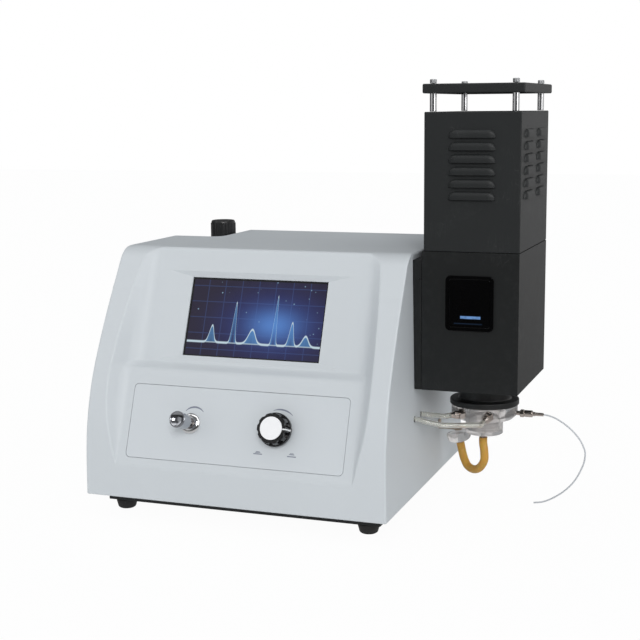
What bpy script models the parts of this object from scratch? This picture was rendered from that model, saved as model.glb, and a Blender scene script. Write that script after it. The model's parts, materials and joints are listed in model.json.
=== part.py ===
"""Flame photometer: a moulded casing with its controls, a burner tower at its side, a regulator behind.

Metres, +Z up. The pieces are placed in the casing's own frame: X is zero at the casing's middle and grows
towards the burner tower, Y is zero at the foot of the front face and grows towards the back, and Z is zero
where the feet stand. One empty carries that frame, and the last step moves it so that the origin lies under
the middle of the object.
"""
import math

import bmesh
import bpy
from mathutils import Matrix, Vector

for old_object in list(bpy.data.objects):
    bpy.data.objects.remove(old_object, do_unlink=True)

# Fits and tessellation
GAP = 0.0003
OVERRUN = 0.004
MERGE = 0.00001
HEXAGON = 6
OCTAGON = 8
COARSE = 12
ROUND = 20
FINE = 32

# Casing shell
CASING_WIDTH = 0.335
CASING_DEPTH = 0.308
CASING_BOTTOM = 0.022
CASING_TOP = 0.279
SIDE_DRAFT_SHARE = 0.015
SIDE_WALL = 0.003
FRONT_WALL = 0.005
CHEEK_ROUNDING = 0.030
CHEEK_ROUNDING_STEPS = 4
CASING_HEIGHT = CASING_TOP - CASING_BOTTOM
HALF_WIDTH = CASING_WIDTH / 2

# Front of the casing: the lower panel, the shoulder above it and the upper plane with the screen
PANEL_FOOT = 0.0575
PANEL_TOP = 0.149
PANEL_LEAN = math.radians(20.6)
SHOULDER_TOP = 0.159
SHOULDER_DEPTH = 0.0151
UPPER_LEAN = math.radians(22.2)

# Screen and the shallow mitred recess around it
SCREEN_WIDTH = 0.1554
SCREEN_HEIGHT = 0.0866
SCREEN_RISE = 0.0542
RECESS_SIDE = 0.0258
RECESS_TOP = 0.0058
RECESS_DEPTH = 0.0029
GLASS_BORDER = 0.006
GLASS_THICKNESS = 0.0018
DISPLAY_THICKNESS = 0.009
DISPLAY_PLUG_WIDTH = 0.048
DISPLAY_PLUG_HEIGHT = 0.016
DISPLAY_PLUG_DEPTH = 0.008

# Control plate on the lower panel
PLATE_WIDTH = 0.242
PLATE_HEIGHT = 0.0782
PLATE_THICKNESS = 0.002
PLATE_CORNER = 0.0045
PLATE_RISE = 0.0484
PLATE_GROOVE = 0.0004
VALVE_RISE = 0.001

# Fine valve: its body behind the plate, the nut in front and the turning spindle with its flared grip
FINE_VALVE_X = -0.051
FINE_BODY_RADIUS = 0.009
FINE_BODY_LENGTH = 0.026
FINE_SLEEVE_RADIUS = 0.0055
FINE_NUT_RADIUS = 0.0093
FINE_NUT_THICKNESS = 0.0035
# The nut's face and the foot of its chamfer, as shares of its radius and thickness
NUT_FACE_SHARE = 0.78
NUT_CHAMFER_SHARE = 0.3
SPINDLE_RADIUS = 0.0030
SPINDLE_LENGTH = 0.034
GRIP_RADIUS = 0.0078
GRIP_LENGTH = 0.016
GRIP_HOLLOW = 0.006
# The grip's outline from its rim down: shares of its radius and of its length
GRIP_SHARES = ((0.94, 0.0), (1.0, 0.0375), (0.97, 0.4), (0.62, 0.8), (0.60, 1.0))
GRIP_ROOT = 0.0016

# Gas valve: body, sprung stem, knob and the metal disc on the knob
GAS_VALVE_X = 0.0465
GAS_BODY_RADIUS = 0.011
GAS_BODY_LENGTH = 0.032
GAS_SLEEVE_RADIUS = 0.0065
GAS_PORT_RADIUS = 0.0011
STEM_RADIUS = 0.0030
STEM_DEPTH = 0.012
GAS_PUSH = 0.004
KNOB_CLEARANCE = 0.0045
KNOB_RADIUS = 0.0165
KNOB_SKIRT_RADIUS = 0.0175
KNOB_SKIRT_HEIGHT = 0.003
KNOB_SKIRT_EDGE = 0.0006
KNOB_HEIGHT = 0.0135
KNOB_CROWN_RADIUS = 0.0152
KNOB_CROWN_EDGE = 0.0008
KNOB_CEILING = 0.0047
KNOB_FLUTES = 12
KNOB_FLUTE_RADIUS = 0.0028
KNOB_FLUTE_DEPTH = 0.0015
KNOB_DISC_RADIUS = 0.0118
KNOB_DISC_THICKNESS = 0.0012
KNOB_DISC_EDGE = 0.0004

# Base pan and feet
PAN_INSET = 0.0135
PAN_FRONT = 0.024
PAN_DROP = 0.0115
PAN_RISE = 0.004
PAN_SHEET = 0.002
PAN_WIDTH = CASING_WIDTH - 2 * PAN_INSET
PAN_BOTTOM = CASING_BOTTOM - PAN_DROP
PAN_RIM = CASING_BOTTOM + PAN_RISE
FOOT_RADIUS = 0.0113
FOOT_TIP_RADIUS = 0.0085
FOOT_EDGE = 0.002
FOOT_ROUNDING = 0.0006
FOOT_INSET_X = 0.0158
FOOT_INSET_FRONT = 0.0113
FOOT_INSET_BACK = 0.035

# Rear panel and what it carries
REAR_SHEET = 0.002
REAR_INSET = 0.002
INLET_INSET = 0.0495
INLET_Z = 0.070
INLET_WIDTH = 0.048
INLET_HEIGHT = 0.028
INLET_DEPTH = 0.026
INLET_FLANGE = 0.003
INLET_LIP = 0.004
INLET_POCKET_WIDTH = 0.026
INLET_POCKET_HEIGHT = 0.019
INLET_POCKET_DEPTH = 0.016
INLET_PIN_WIDTH = 0.0018
INLET_PIN_HEIGHT = 0.0036
# The pins' places: shares of the pocket's width and height from its middle
INLET_PIN_SHARES = ((-0.27, -0.12), (0.27, -0.12), (0.0, 0.22))
SWITCH_SPACING = 0.048
SWITCH_WIDTH = 0.0190
SWITCH_HEIGHT = 0.0300
SWITCH_DEPTH = 0.016
SWITCH_WALL = 0.0015
ROCKER_PROUD = 0.0035
ROCKER_RADIUS = 0.0035
ROCKER_LENGTH_SHARE = 0.90
ROCKER_FOOT_SHARE = 0.92
ROCKER_TILT = math.radians(10)
FAN_X = 0.030
FAN_DROP = 0.089
FAN_SIZE = 0.060
FAN_DEPTH = 0.020
FAN_BORE = 0.0275
FAN_HUB = 0.011
FAN_BLADES = 7
FAN_BLADE_THICKNESS = 0.001
FAN_BLADE_DEPTH_SHARE = 0.84
FAN_BLADE_TURN = math.radians(38)
FAN_STATOR_RADIUS = 0.009
FAN_STATOR_DEPTH = 0.003
FAN_STRUT = 0.003
FAN_TIP_CLEARANCE = 0.0015
GAS_INLET_X = -0.040
GAS_INLET_Z = 0.070
GAS_INLET_RADIUS = 0.0045
GAS_INLET_LENGTH = 0.016
GAS_INLET_BORE = 0.0015
GAS_INLET_NUT = 0.008
GAS_INLET_TAIL = 0.012
# The barb's outline from its tip down: shares of the inlet's radius and of its length
BARB_SHARES = ((0.7, 1.0), (1.0, 0.75), (0.7, 0.7), (0.7, 0.35))
INLET_X = HALF_WIDTH - INLET_INSET
SWITCH_X = INLET_X - SWITCH_SPACING
FAN_Z = CASING_TOP - FAN_DROP

# Electronics inside the casing
BOARD_WIDTH = 0.150
BOARD_DEPTH = 0.110
BOARD_INSET = 0.0325
BOARD_Y = 0.180
BOARD_THICKNESS = 0.0016
BOARD_STANDOFF = 0.010
STANDOFF_RADIUS = 0.003
# Larger components: shares of the board for two corners, and their height in board thicknesses
COMPONENT_SHARES = ((0.10, 0.15, 0.28, 0.40, 3), (0.42, 0.30, 0.60, 0.58, 2), (0.70, 0.12, 0.92, 0.22, 6),
                    (0.72, 0.62, 0.90, 0.86, 8), (0.12, 0.66, 0.34, 0.82, 5))
SUPPLY_WIDTH = 0.062
SUPPLY_DEPTH = 0.110
SUPPLY_HEIGHT = 0.038
SUPPLY_CLEARANCE = 0.014
SUPPLY_Y = 0.150
BOARD_X = HALF_WIDTH - BOARD_INSET - BOARD_WIDTH / 2
SUPPLY_X = BOARD_X - BOARD_WIDTH / 2 - SUPPLY_CLEARANCE - SUPPLY_WIDTH / 2

# Corner niche and the filter regulator that stands in it
NICHE_WIDTH = 0.0655
NICHE_DEPTH = 0.091
NICHE_HEIGHT = 0.154
NICHE_CORNER = 0.014
NICHE_CORNER_STEPS = 4
REGULATOR_INSET = 0.0405
REGULATOR_BACK = 0.028
REGULATOR_RISE = 0.014
REGULATOR_KNOB_RADIUS = 0.0153
REGULATOR_KNOB_HEIGHT = 0.027
REGULATOR_KNOB_WELL = 0.0149
REGULATOR_KNOB_EDGE = 0.0019
REGULATOR_KNOB_CROWN_SHARE = 0.90
REGULATOR_KNOB_RIBS = 20
REGULATOR_RIB = 0.0007
REGULATOR_RIB_STOP = 0.0032
REGULATOR_WELL_CLEARANCE = 0.0009
BONNET_RADIUS = 0.0165
BONNET_TOP_RADIUS = 0.0155
BONNET_HEIGHT = 0.022
REGULATOR_BLOCK = 0.036
REGULATOR_BLOCK_HEIGHT = 0.026
BOWL_RADIUS = 0.0165
BOWL_HEIGHT = 0.058
BOWL_WALL = 0.0025
BOWL_COLLAR = 0.008
BOWL_COLLAR_STEP = 0.0008
DRAIN_COCK_RADIUS = 0.005
DRAIN_COCK_LENGTH = 0.008
REGULATOR_SPINDLE_RADIUS = 0.004
NICHE_SIDE = -HALF_WIDTH + NICHE_WIDTH
NICHE_FRONT = CASING_DEPTH - NICHE_DEPTH
NICHE_FLOOR = CASING_TOP - NICHE_HEIGHT
REGULATOR_X = -HALF_WIDTH + REGULATOR_INSET
REGULATOR_Y = CASING_DEPTH - REGULATOR_BACK
REGULATOR_TOP = CASING_TOP + REGULATOR_RISE

# Burner tower: the lower housing, the louvred cover on it and the plate on its posts
TOWER_STANDOFF = 0.0061
TOWER_WIDTH = 0.1012
TOWER_FRONT = 0.1048
TOWER_DEPTH = 0.1481
TOWER_SHEET = 0.0018
HOUSING_BOTTOM = 0.1365
HOUSING_HEIGHT = 0.1451
COVER_STEP = 0.0018
COVER_HEIGHT = 0.1412
COVER_RIM = 0.017
FLANGE_DROP = 0.0089
FLANGE_INSET = 0.0079
PLATE_OVERHANG = 0.003
PLATE_OVERHANG_LEFT = 0.0018
PLATE_OVERHANG_FRONT = 0.001
PLATE_CLEARANCE = 0.0183
TOP_PLATE_HEIGHT = 0.0096
TOP_PLATE_SHEET = 0.002
TOP_PLATE_EDGE = 0.001
POST_RADIUS = 0.0035
POST_INSET = 0.0075
SCREW_HEAD_RADIUS = 0.0033
SCREW_HEAD_HEIGHT = 0.0042
SCREW_HEAD_EDGE = 0.0004
SCREW_SHANK_RADIUS = 0.0016
SCREW_SHANK_LENGTH = 0.006
LOUVRE_WIDTH = 0.0487
LOUVRE_HEIGHT = 0.0085
LOUVRE_PITCH = 0.0124
LOUVRE_PROUD = 0.0035
LOUVRE_END = 0.006
LOUVRE_ROWS = 6
LOUVRE_DROP = 0.0173
LOUVRE_COLUMN_SPACING = 0.0655
# A louvre's drawn-in ends, its top's drop and its lower height there, as shares of its end, height and rise
LOUVRE_LIP_END_SHARE = 0.35
LOUVRE_ROOT_END_SHARE = 0.5
LOUVRE_TOP_SHARE = 0.30
LOUVRE_CROWN_SHARE = 0.8
LOUVRE_SHEET_SHARE = 0.6
WINDOW_WIDTH = 0.0500
WINDOW_HEIGHT = 0.0570
WINDOW_DROP = 0.0521
WINDOW_CORNER = 0.005
WINDOW_INNER_CORNER = 0.0025
WINDOW_PROUD = 0.0016
WINDOW_GLASS = 0.0012
WINDOW_BORDER = 0.0035
WINDOW_OPENING_WIDTH = 0.040
WINDOW_OPENING_HEIGHT = 0.047
HOUSING_LEFT = HALF_WIDTH + TOWER_STANDOFF
TOWER_RIGHT = HOUSING_LEFT + TOWER_WIDTH
TOWER_BACK = TOWER_FRONT + TOWER_DEPTH
HOUSING_TOP = HOUSING_BOTTOM + HOUSING_HEIGHT
COVER_LEFT = HOUSING_LEFT + COVER_STEP
COVER_TOP = HOUSING_TOP + COVER_HEIGHT
FLANGE_TOP = HOUSING_TOP - FLANGE_DROP
FLANGE_BACK = TOWER_BACK - FLANGE_INSET
TOP_PLATE_BOTTOM = COVER_TOP + PLATE_CLEARANCE
TOP_PLATE_TOP = TOP_PLATE_BOTTOM + TOP_PLATE_HEIGHT
LOUVRE_TOP = COVER_TOP - LOUVRE_DROP
WINDOW_CENTRE = HOUSING_TOP - WINDOW_DROP
TOWER_X = (HOUSING_LEFT + TOWER_RIGHT) / 2
TOWER_Y = (TOWER_FRONT + TOWER_BACK) / 2

# Optical path from the flame to the detector inside the casing
OPTICS_RISE = 0.0785
OPTICS_RADIUS = 0.012
SNOUT_WALL = 0.0025
DETECTOR_LENGTH = 0.075
DETECTOR_WIDTH = 0.056
DETECTOR_HEIGHT = 0.044
DETECTOR_WALL = 0.003
OPTICS_Z = HOUSING_BOTTOM + OPTICS_RISE
SNOUT_RADIUS = OPTICS_RADIUS + SNOUT_WALL

# Burner under and inside the tower
BURNER_OFFSET_X = 0.0004
BURNER_OFFSET_Y = 0.00085
RING_RADIUS = 0.0372
RING_FACE_RADIUS = 0.0365
RING_DROP = 0.026
RING_THICKNESS = 0.006
RING_EDGE = 0.0012
NECK_RADIUS = 0.028
HEAD_RADIUS = 0.0075
HEAD_BORE = 0.0045
HEAD_CAP_RADIUS = 0.011
HEAD_CAP_HEIGHT = 0.010
HEAD_RISE = 0.0415
CHIMNEY_RADIUS = 0.026
CHIMNEY_WALL = 0.0015
CHIMNEY_DROP = 0.0096
CHIMNEY_VIEW_RADIUS = 0.014
IGNITER_RADIUS = 0.0025
IGNITER_TIP_RADIUS = 0.0008
IGNITER_RISE = 0.006
IGNITER_TIP = 0.012
IGNITER_COLLAR_RADIUS = 0.005
IGNITER_COLLAR = 0.006
BURNER_X = TOWER_X + BURNER_OFFSET_X
BURNER_Y = TOWER_Y - BURNER_OFFSET_Y
RING_BOTTOM = HOUSING_BOTTOM - RING_DROP
RING_TOP = RING_BOTTOM + RING_THICKNESS
HEAD_TOP = HOUSING_BOTTOM + HEAD_RISE
CHIMNEY_TOP = HOUSING_TOP - CHIMNEY_DROP
IGNITER_Z = HEAD_TOP + IGNITER_RISE

# Mixing chamber and its base
CHAMBER_RADIUS = 0.0357
CHAMBER_HEIGHT = 0.0155
CHAMBER_CHAMFER = 0.005
CHAMBER_CAVITY_RADIUS = 0.0165
CHAMBER_CAVITY_HEIGHT = 0.0115
BASE_RADIUS = 0.0202
BASE_HEIGHT = 0.0174
BASE_FLOOR = 0.003
BASE_CAVITY_RADIUS = 0.0150
SPIGOT_RADIUS = 0.0030
SPIGOT_BORE = 0.0015
SPIGOT_LENGTH = 0.012
SPIGOT_OFFSET = 0.001
CHAMBER_TOP = RING_BOTTOM - GAP
CHAMBER_BOTTOM = RING_BOTTOM - CHAMBER_HEIGHT
CHAMBER_CAVITY_TOP = CHAMBER_BOTTOM + CHAMBER_CAVITY_HEIGHT
BASE_BOTTOM = CHAMBER_BOTTOM - BASE_HEIGHT

# Gas and air fittings on the chamber, and their tubes to the casing
FITTING_RISE = 0.0082
FITTING_LENGTH = 0.0155
FITTING_HEX = 0.0060
FITTING_HEX_LENGTH = 0.006
FITTING_BODY = 0.0045
FITTING_BARB = 0.0030
FITTING_THREAD = 0.0030
FITTING_SCREWED = 0.004
# Where the barb ends and where its cone ends, as shares of the fitting's length
FITTING_CONE_SHARES = (0.78, 0.74)
GAS_FITTING_TURN = math.radians(240.36)
GAS_FITTING_INSET = 0.0023
GAS_FITTING_AIM = (-0.72, -0.69, 0.0)
AIR_FITTING_TURN = math.radians(-69.2)
AIR_FITTING_INSET = 0.0019
AIR_FITTING_AIM = (-0.17, -0.96, -0.22)
TUBE_RADIUS = 0.0029
TUBE_HOLE_RADIUS = 0.0036
TUBE_INSIDE = 0.010
TUBE_RISE = 0.0008
GAS_TUBE_BACK = 0.0262
AIR_TUBE_BACK = 0.0012
TUBE_STEPS = 5
# The tubes' straight ends and their points off the tip and off the hole, in tube diameters
GAS_TIP_SHARE = 1.3
GAS_HOLE_SHARES = ((2.0, 0.207, -0.103), (0.8, 0.0, 0.0))
AIR_TIP_SHARE = 1.1
AIR_TIP_SHARES = ((-1.9, -1.7, -0.25),)
AIR_HOLE_SHARES = ((5.2, 1.0, -0.95), (2.6, 0.25, -0.45), (0.6, 0.0, 0.0))
FITTING_Z = CHAMBER_BOTTOM + FITTING_RISE
TUBE_EXIT_Z = FITTING_Z + TUBE_RISE
GAS_TUBE_Y = TOWER_FRONT + GAS_TUBE_BACK
AIR_TUBE_Y = TOWER_FRONT + AIR_TUBE_BACK

# Nebuliser: body in the chamber's side, nut and ferrule
NEBULISER_RISE = 0.0065
NEBULISER_STEM_RADIUS = 0.0024
NEBULISER_SCREWED = 0.006
NEBULISER_STEM = 0.0035
NEBULISER_HEX = 0.0044
NEBULISER_HEX_LENGTH = 0.0045
NEBULISER_BODY_RADIUS = 0.0028
NEBULISER_THREAD = 0.0059
NUT_RADIUS = 0.0037
NUT_LENGTH = 0.0085
NUT_BORE = 0.0031
FERRULE_RADIUS = 0.0023
FERRULE_TIP_RADIUS = 0.0018
FERRULE_LENGTH = 0.0118
NEBULISER_Z = CHAMBER_BOTTOM + NEBULISER_RISE

# Drain: the tube loop under the chamber, the fluted trap and its bracket
DRAIN_RADIUS = 0.0041
DRAIN_BORE = 0.0033
DRAIN_SLIP = 0.0062
DRAIN_DROP = 0.046
DRAIN_STEPS = 4
# The loop's points: shares of the way from the spigot to the trap, and of the drop to its lowest point
DRAIN_LOOP_SHARES = ((-0.05, 0.62), (-0.05, 0.36), (0.14, 0.115), (0.40, 0.0), (0.68, 0.03), (0.85, 0.20))
TRAP_STANDOFF = 0.0215
TRAP_BEHIND = 0.027
TRAP_DROP = 0.0086
TRAP_RADIUS = 0.0135
TRAP_HEIGHT = 0.0105
# The trap's outline: shares of its radius and of its height, from its top edge down
TRAP_SHARES = ((0.93, 0.0), (1.0, 0.12), (0.97, 0.60), (0.70, 1.0))
TRAP_LEAN = math.radians(12)
TRAP_FLUTES = 14
TRAP_FLUTE_RADIUS = 0.0012
TRAP_FLUTE_STANDOFF = 0.0005
TRAP_NOZZLE_RADIUS = 0.0030
TRAP_NOZZLE = 0.006
NOZZLE_SLIP = 0.0043
TRAP_STEM_RADIUS = 0.0032
TRAP_STEM = 0.007
BRACKET_WIDTH = 0.008
BRACKET_SHEET = 0.0015
BRACKET_EAR = 0.010
DRAIN_LOW = BASE_BOTTOM - DRAIN_DROP
TRAP_X = HALF_WIDTH + TRAP_STANDOFF
TRAP_Y = BURNER_Y + TRAP_BEHIND
TRAP_TOP = BASE_BOTTOM - TRAP_DROP

# Sample capillary
CAPILLARY_RADIUS = 0.00085
CAPILLARY_STEPS = 3

COLLECTION = bpy.data.collections.new("flame_photometer")
CUTTERS = bpy.data.collections.new("cutters_and_guides")
bpy.context.scene.collection.children.link(COLLECTION)
bpy.context.scene.collection.children.link(CUTTERS)


def empty(name, parent=None, location=(0, 0, 0), rotation=(0, 0, 0)):
    holder = bpy.data.objects.new(name, None)
    COLLECTION.objects.link(holder)
    holder.parent = parent
    holder.location = location
    holder.rotation_euler = rotation
    return holder


CASING_FRAME = empty("casing_frame")


def material(name, colour, roughness, metallic=0.0, transmission=0.0):
    made = bpy.data.materials.new(name)
    made.use_nodes = True
    shader = made.node_tree.nodes["Principled BSDF"]
    shader.inputs["Base Color"].default_value = (*colour, 1.0)
    shader.inputs["Roughness"].default_value = roughness
    shader.inputs["Metallic"].default_value = metallic
    shader.inputs["Transmission Weight"].default_value = transmission
    made.diffuse_color = (*colour, 1.0)
    return made


LIGHT_GREY = material("light_grey_plastic", (0.60, 0.63, 0.66), 0.45)
BLACK_STEEL = material("black_powder_coat", (0.020, 0.024, 0.025), 0.55)
BLACK_GLOSS = material("black_gloss", (0.004, 0.004, 0.005), 0.08)
BLACK_PLASTIC = material("black_plastic", (0.015, 0.015, 0.016), 0.35)
RUBBER = material("black_rubber", (0.012, 0.012, 0.012), 0.75)
CHROME = material("polished_steel", (0.75, 0.75, 0.76), 0.12, 1.0)
NICKEL = material("nickel", (0.55, 0.50, 0.46), 0.22, 1.0)
BRUSHED = material("brushed_aluminium", (0.86, 0.87, 0.88), 0.35, 1.0)
ZINC = material("zinc_steel", (0.50, 0.51, 0.52), 0.45, 1.0)
ACRYLIC = material("clear_acrylic", (0.90, 0.90, 0.88), 0.06, 0.0, 1.0)
CLEAR_TUBE = material("clear_tube", (0.82, 0.81, 0.74), 0.12, 0.0, 0.8)
AMBER = material("amber_rubber", (0.62, 0.36, 0.06), 0.30)
WHITE_TUBE = material("white_capillary", (0.78, 0.80, 0.83), 0.30)
SCREEN = material("screen_glass", (0.010, 0.012, 0.060), 0.08)
GREEN_BOARD = material("circuit_board", (0.02, 0.16, 0.06), 0.45)
CERAMIC = material("ceramic", (0.80, 0.78, 0.72), 0.50)


def add_object(name, mesh, surface, parent, location, rotation, guide):
    made = bpy.data.objects.new(name, mesh)
    (CUTTERS if guide else COLLECTION).objects.link(made)
    made.parent = parent
    made.location = location
    made.rotation_euler = rotation
    if guide:
        made.hide_render = True
        made.display_type = 'WIRE'
    elif surface is not None:
        mesh.materials.append(surface)
    return made


def smooth(mesh):
    mesh.shade_smooth()
    mesh.set_sharp_from_angle(angle=math.radians(35))


def mesh_object(name, bm, surface, parent=CASING_FRAME, location=(0, 0, 0), rotation=(0, 0, 0),
                guide=False):
    bmesh.ops.recalc_face_normals(bm, faces=bm.faces)
    mesh = bpy.data.meshes.new(name)
    bm.to_mesh(mesh)
    bm.free()
    smooth(mesh)
    return add_object(name, mesh, surface, parent, location, rotation, guide)


def block(name, low, high, surface=None, parent=CASING_FRAME, guide=False, edge=0.0):
    """A box between two corners, with its origin at its middle and its edges bevelled by edge."""
    low, high = Vector(low), Vector(high)
    bm = bmesh.new()
    bmesh.ops.create_cube(bm, size=1.0, matrix=Matrix.Diagonal((*(high - low), 1.0)))
    made = mesh_object(name, bm, surface, parent, (low + high) / 2, guide=guide)
    if edge:
        bevel = made.modifiers.new("edges", 'BEVEL')
        bevel.width = edge
        bevel.segments = 1
    return made


def aim(direction):
    return Vector((0, 0, 1)).rotation_difference(Vector(direction)).to_euler()


def rod(name, radius, start, end, surface=None, parent=CASING_FRAME, sides=ROUND, guide=False,
        end_radius=None):
    """A cylinder, cone or prism from one point to another, with its origin at its start."""
    start, end = Vector(start), Vector(end)
    length = (end - start).length
    bm = bmesh.new()
    bmesh.ops.create_cone(bm, cap_ends=True, segments=sides, radius1=radius,
                          radius2=radius if end_radius is None else end_radius, depth=length,
                          matrix=Matrix.Translation((0, 0, length / 2)))
    return mesh_object(name, bm, surface, parent, start, aim(end - start), guide)


def turned(name, outline, surface=None, parent=CASING_FRAME, location=(0, 0, 0), direction=(0, 0, 1),
           sides=ROUND, guide=False):
    """A turned piece: outline is (radius, height) points down the outer side, top to bottom, about +Z."""
    mesh = bpy.data.meshes.new(name)
    points = [(radius, 0, height) for radius, height in outline]
    closed = outline[0][0] > 0
    edges = [(i, i + 1) for i in range(len(points) - 1)]
    if closed:
        edges.append((len(points) - 1, 0))
    mesh.from_pydata(points, edges, [])
    made = add_object(name, mesh, surface, parent, location, aim(direction), guide)
    screw = made.modifiers.new("turn", 'SCREW')
    screw.steps = sides
    screw.render_steps = sides
    screw.use_merge_vertices = True
    screw.merge_threshold = MERGE
    screw.use_smooth_shade = False
    return made


def tube(name, points, radius, surface, sides=2, parent=CASING_FRAME):
    """A round tube along a smooth curve through the points, as a poly spline with closed ends."""
    curve = bpy.data.curves.new(name, 'CURVE')
    curve.dimensions = '3D'
    curve.bevel_depth = radius
    curve.bevel_resolution = sides
    curve.use_fill_caps = True
    spline = curve.splines.new('POLY')
    spline.points.add(len(points) - 1)
    for place, point in zip(spline.points, points):
        place.co = (*point, 1.0)
    made = bpy.data.objects.new(name, curve)
    COLLECTION.objects.link(made)
    made.parent = parent
    curve.materials.append(surface)
    return made


def as_mesh(made, guide=False):
    """Turns a curve object into a mesh object of the same name, with its caps welded on."""
    bpy.context.view_layer.update()
    evaluated = made.evaluated_get(bpy.context.evaluated_depsgraph_get())
    mesh = bpy.data.meshes.new_from_object(evaluated)
    bm = bmesh.new()
    bm.from_mesh(mesh)
    bmesh.ops.remove_doubles(bm, verts=bm.verts, dist=MERGE)
    bmesh.ops.recalc_face_normals(bm, faces=bm.faces)
    bm.to_mesh(mesh)
    bm.free()
    name, parent, place = made.name, made.parent, made.matrix_basis.copy()
    surface = made.data.materials[0] if made.data.materials else None
    bpy.data.objects.remove(made, do_unlink=True)
    mesh.materials.clear()
    smooth(mesh)
    solid = add_object(name, mesh, surface, parent, (0, 0, 0), (0, 0, 0), guide)
    solid.matrix_basis = place
    return solid


def sheet(name, outline, thickness, surface, parent=CASING_FRAME, location=(0, 0, 0), rotation=(0, 0, 0),
          guide=False):
    """A flat plate of a 2D outline, centred on its own XY plane."""
    curve = bpy.data.curves.new(name, 'CURVE')
    curve.dimensions = '2D'
    curve.fill_mode = 'BOTH'
    curve.extrude = thickness / 2
    spline = curve.splines.new('POLY')
    spline.points.add(len(outline) - 1)
    for place, (x, y) in zip(spline.points, outline):
        place.co = (x, y, 0, 1.0)
    spline.use_cyclic_u = True
    made = bpy.data.objects.new(name, curve)
    COLLECTION.objects.link(made)
    made.parent = parent
    made.location = location
    made.rotation_euler = rotation
    if surface is not None:
        curve.materials.append(surface)
    return as_mesh(made, guide)


def rounded_rectangle(width, height, corner, steps=4):
    """Outline of a rectangle with round corners, anticlockwise."""
    points = []
    for quarter in range(4):
        turn = quarter * math.pi / 2
        across = 1 if quarter in (0, 3) else -1
        up = 1 if quarter in (0, 1) else -1
        for step in range(steps + 1):
            angle = turn + step / steps * math.pi / 2
            points.append((across * (width / 2 - corner) + corner * math.cos(angle),
                           up * (height / 2 - corner) + corner * math.sin(angle)))
    return points


def boolean(made, other, operation):
    change = made.modifiers.new(operation.lower(), 'BOOLEAN')
    change.operation = operation
    change.object = other
    change.solver = 'EXACT'


def cut(made, *cutters):
    for cutter in cutters:
        boolean(made, cutter, 'DIFFERENCE')


def join(made, *others):
    for other in others:
        boolean(made, other, 'UNION')


def smooth_route(points, steps):
    """Points along a Catmull-Rom curve through the given points."""
    points = [Vector(p) for p in points]
    padded = [points[0] * 2 - points[1]] + points + [points[-1] * 2 - points[-2]]
    route = []
    for before, start, end, after in zip(padded, padded[1:], padded[2:], padded[3:]):
        for step in range(steps):
            t = step / steps
            route.append(0.5 * (2 * start + (end - before) * t
                                + (2 * before - 5 * start + 4 * end - after) * t ** 2
                                + (3 * start - before - 3 * end + after) * t ** 3))
    route.append(points[-1])
    return route


# Cheeks: depth as a share of the casing's depth, at heights that are shares of its height
CHEEK_SHARES = ((0.0, 0.0), (0.138, 0.0), (0.206, 0.0016), (0.284, 0.0081), (0.362, 0.0211), (0.440, 0.0396),
                (0.494, 0.0562), (0.560, 0.0818), (0.654, 0.1234), (0.751, 0.1698), (0.848, 0.2208))
# Width of the trough between the cheeks, at its mouth and at its foot, as shares of half the casing's width
MOUTH_SHARES = ((0.0, 0.788), (0.138, 0.788), (0.218, 0.815), (0.253, 0.828), (0.321, 0.851), (0.401, 0.866),
                (0.494, 0.872), (0.611, 0.866), (0.722, 0.853), (0.812, 0.840), (0.904, 0.823),
                (0.968, 0.804),
                (0.986, 0.770), (1.0, 0.731))
FOOT_SHARES = ((0.0, 0.785), (0.138, 0.785), (0.401, 0.797), (0.494, 0.799), (0.514, 0.791), (0.527, 0.779),
               (0.533, 0.764), (0.654, 0.761), (0.809, 0.752), (0.934, 0.737), (1.0, 0.722))


def interpolate(table, share):
    for (low, low_value), (high, high_value) in zip(table, table[1:]):
        if share <= high:
            return low_value + (high_value - low_value) * (share - low) / (high - low)
    return table[-1][1]


def side_x(z):
    """Half the casing's width at a height: the sides lean in."""
    return HALF_WIDTH - SIDE_DRAFT_SHARE * (z - CASING_BOTTOM)


def height_share(z):
    return (z - CASING_BOTTOM) / CASING_HEIGHT


CHEEK_SLOPE = ((CHEEK_SHARES[-1][1] - CHEEK_SHARES[-2][1]) * CASING_DEPTH
               / ((CHEEK_SHARES[-1][0] - CHEEK_SHARES[-2][0]) * CASING_HEIGHT))
CHEEK_LEAN = math.atan(CHEEK_SLOPE)
CHEEK_CORNER_Y = CHEEK_SHARES[-1][1] * CASING_DEPTH + CHEEK_SLOPE * (1 - CHEEK_SHARES[-1][0]) * CASING_HEIGHT
CHEEK_TANGENT = CHEEK_ROUNDING * math.tan((math.pi / 2 - CHEEK_LEAN) / 2)
CHEEK_ARC_Y = CHEEK_CORNER_Y + CHEEK_TANGENT
CHEEK_ARC_Z = CASING_TOP - CHEEK_ROUNDING
CHEEK_ARC_FOOT = CASING_TOP - CHEEK_TANGENT * math.cos(CHEEK_LEAN)


def cheek_y(z):
    """Depth of the cheeks' face at a height, with the round brow under the top."""
    if z <= CHEEK_ARC_FOOT:
        foot = CHEEK_SHARES[-1][0]
        if height_share(z) <= foot:
            return interpolate(CHEEK_SHARES, height_share(z)) * CASING_DEPTH
        return CHEEK_CORNER_Y - CHEEK_SLOPE * (CASING_TOP - z)
    rise = min(1.0, (z - CHEEK_ARC_Z) / CHEEK_ROUNDING)
    return CHEEK_ARC_Y - CHEEK_ROUNDING * math.sqrt(1 - rise ** 2)


def panel_y(z):
    return max(0.0, z - PANEL_FOOT) * math.tan(PANEL_LEAN)


CREASE_Y = panel_y(PANEL_TOP) + SHOULDER_DEPTH
# The shoulder between panel and upper plane: shares of its rise and of its depth
SHOULDER_SHARES = ((0.0, 0.0), (0.5, 0.20), (0.85, 0.52), (1.0, 1.0))


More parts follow.
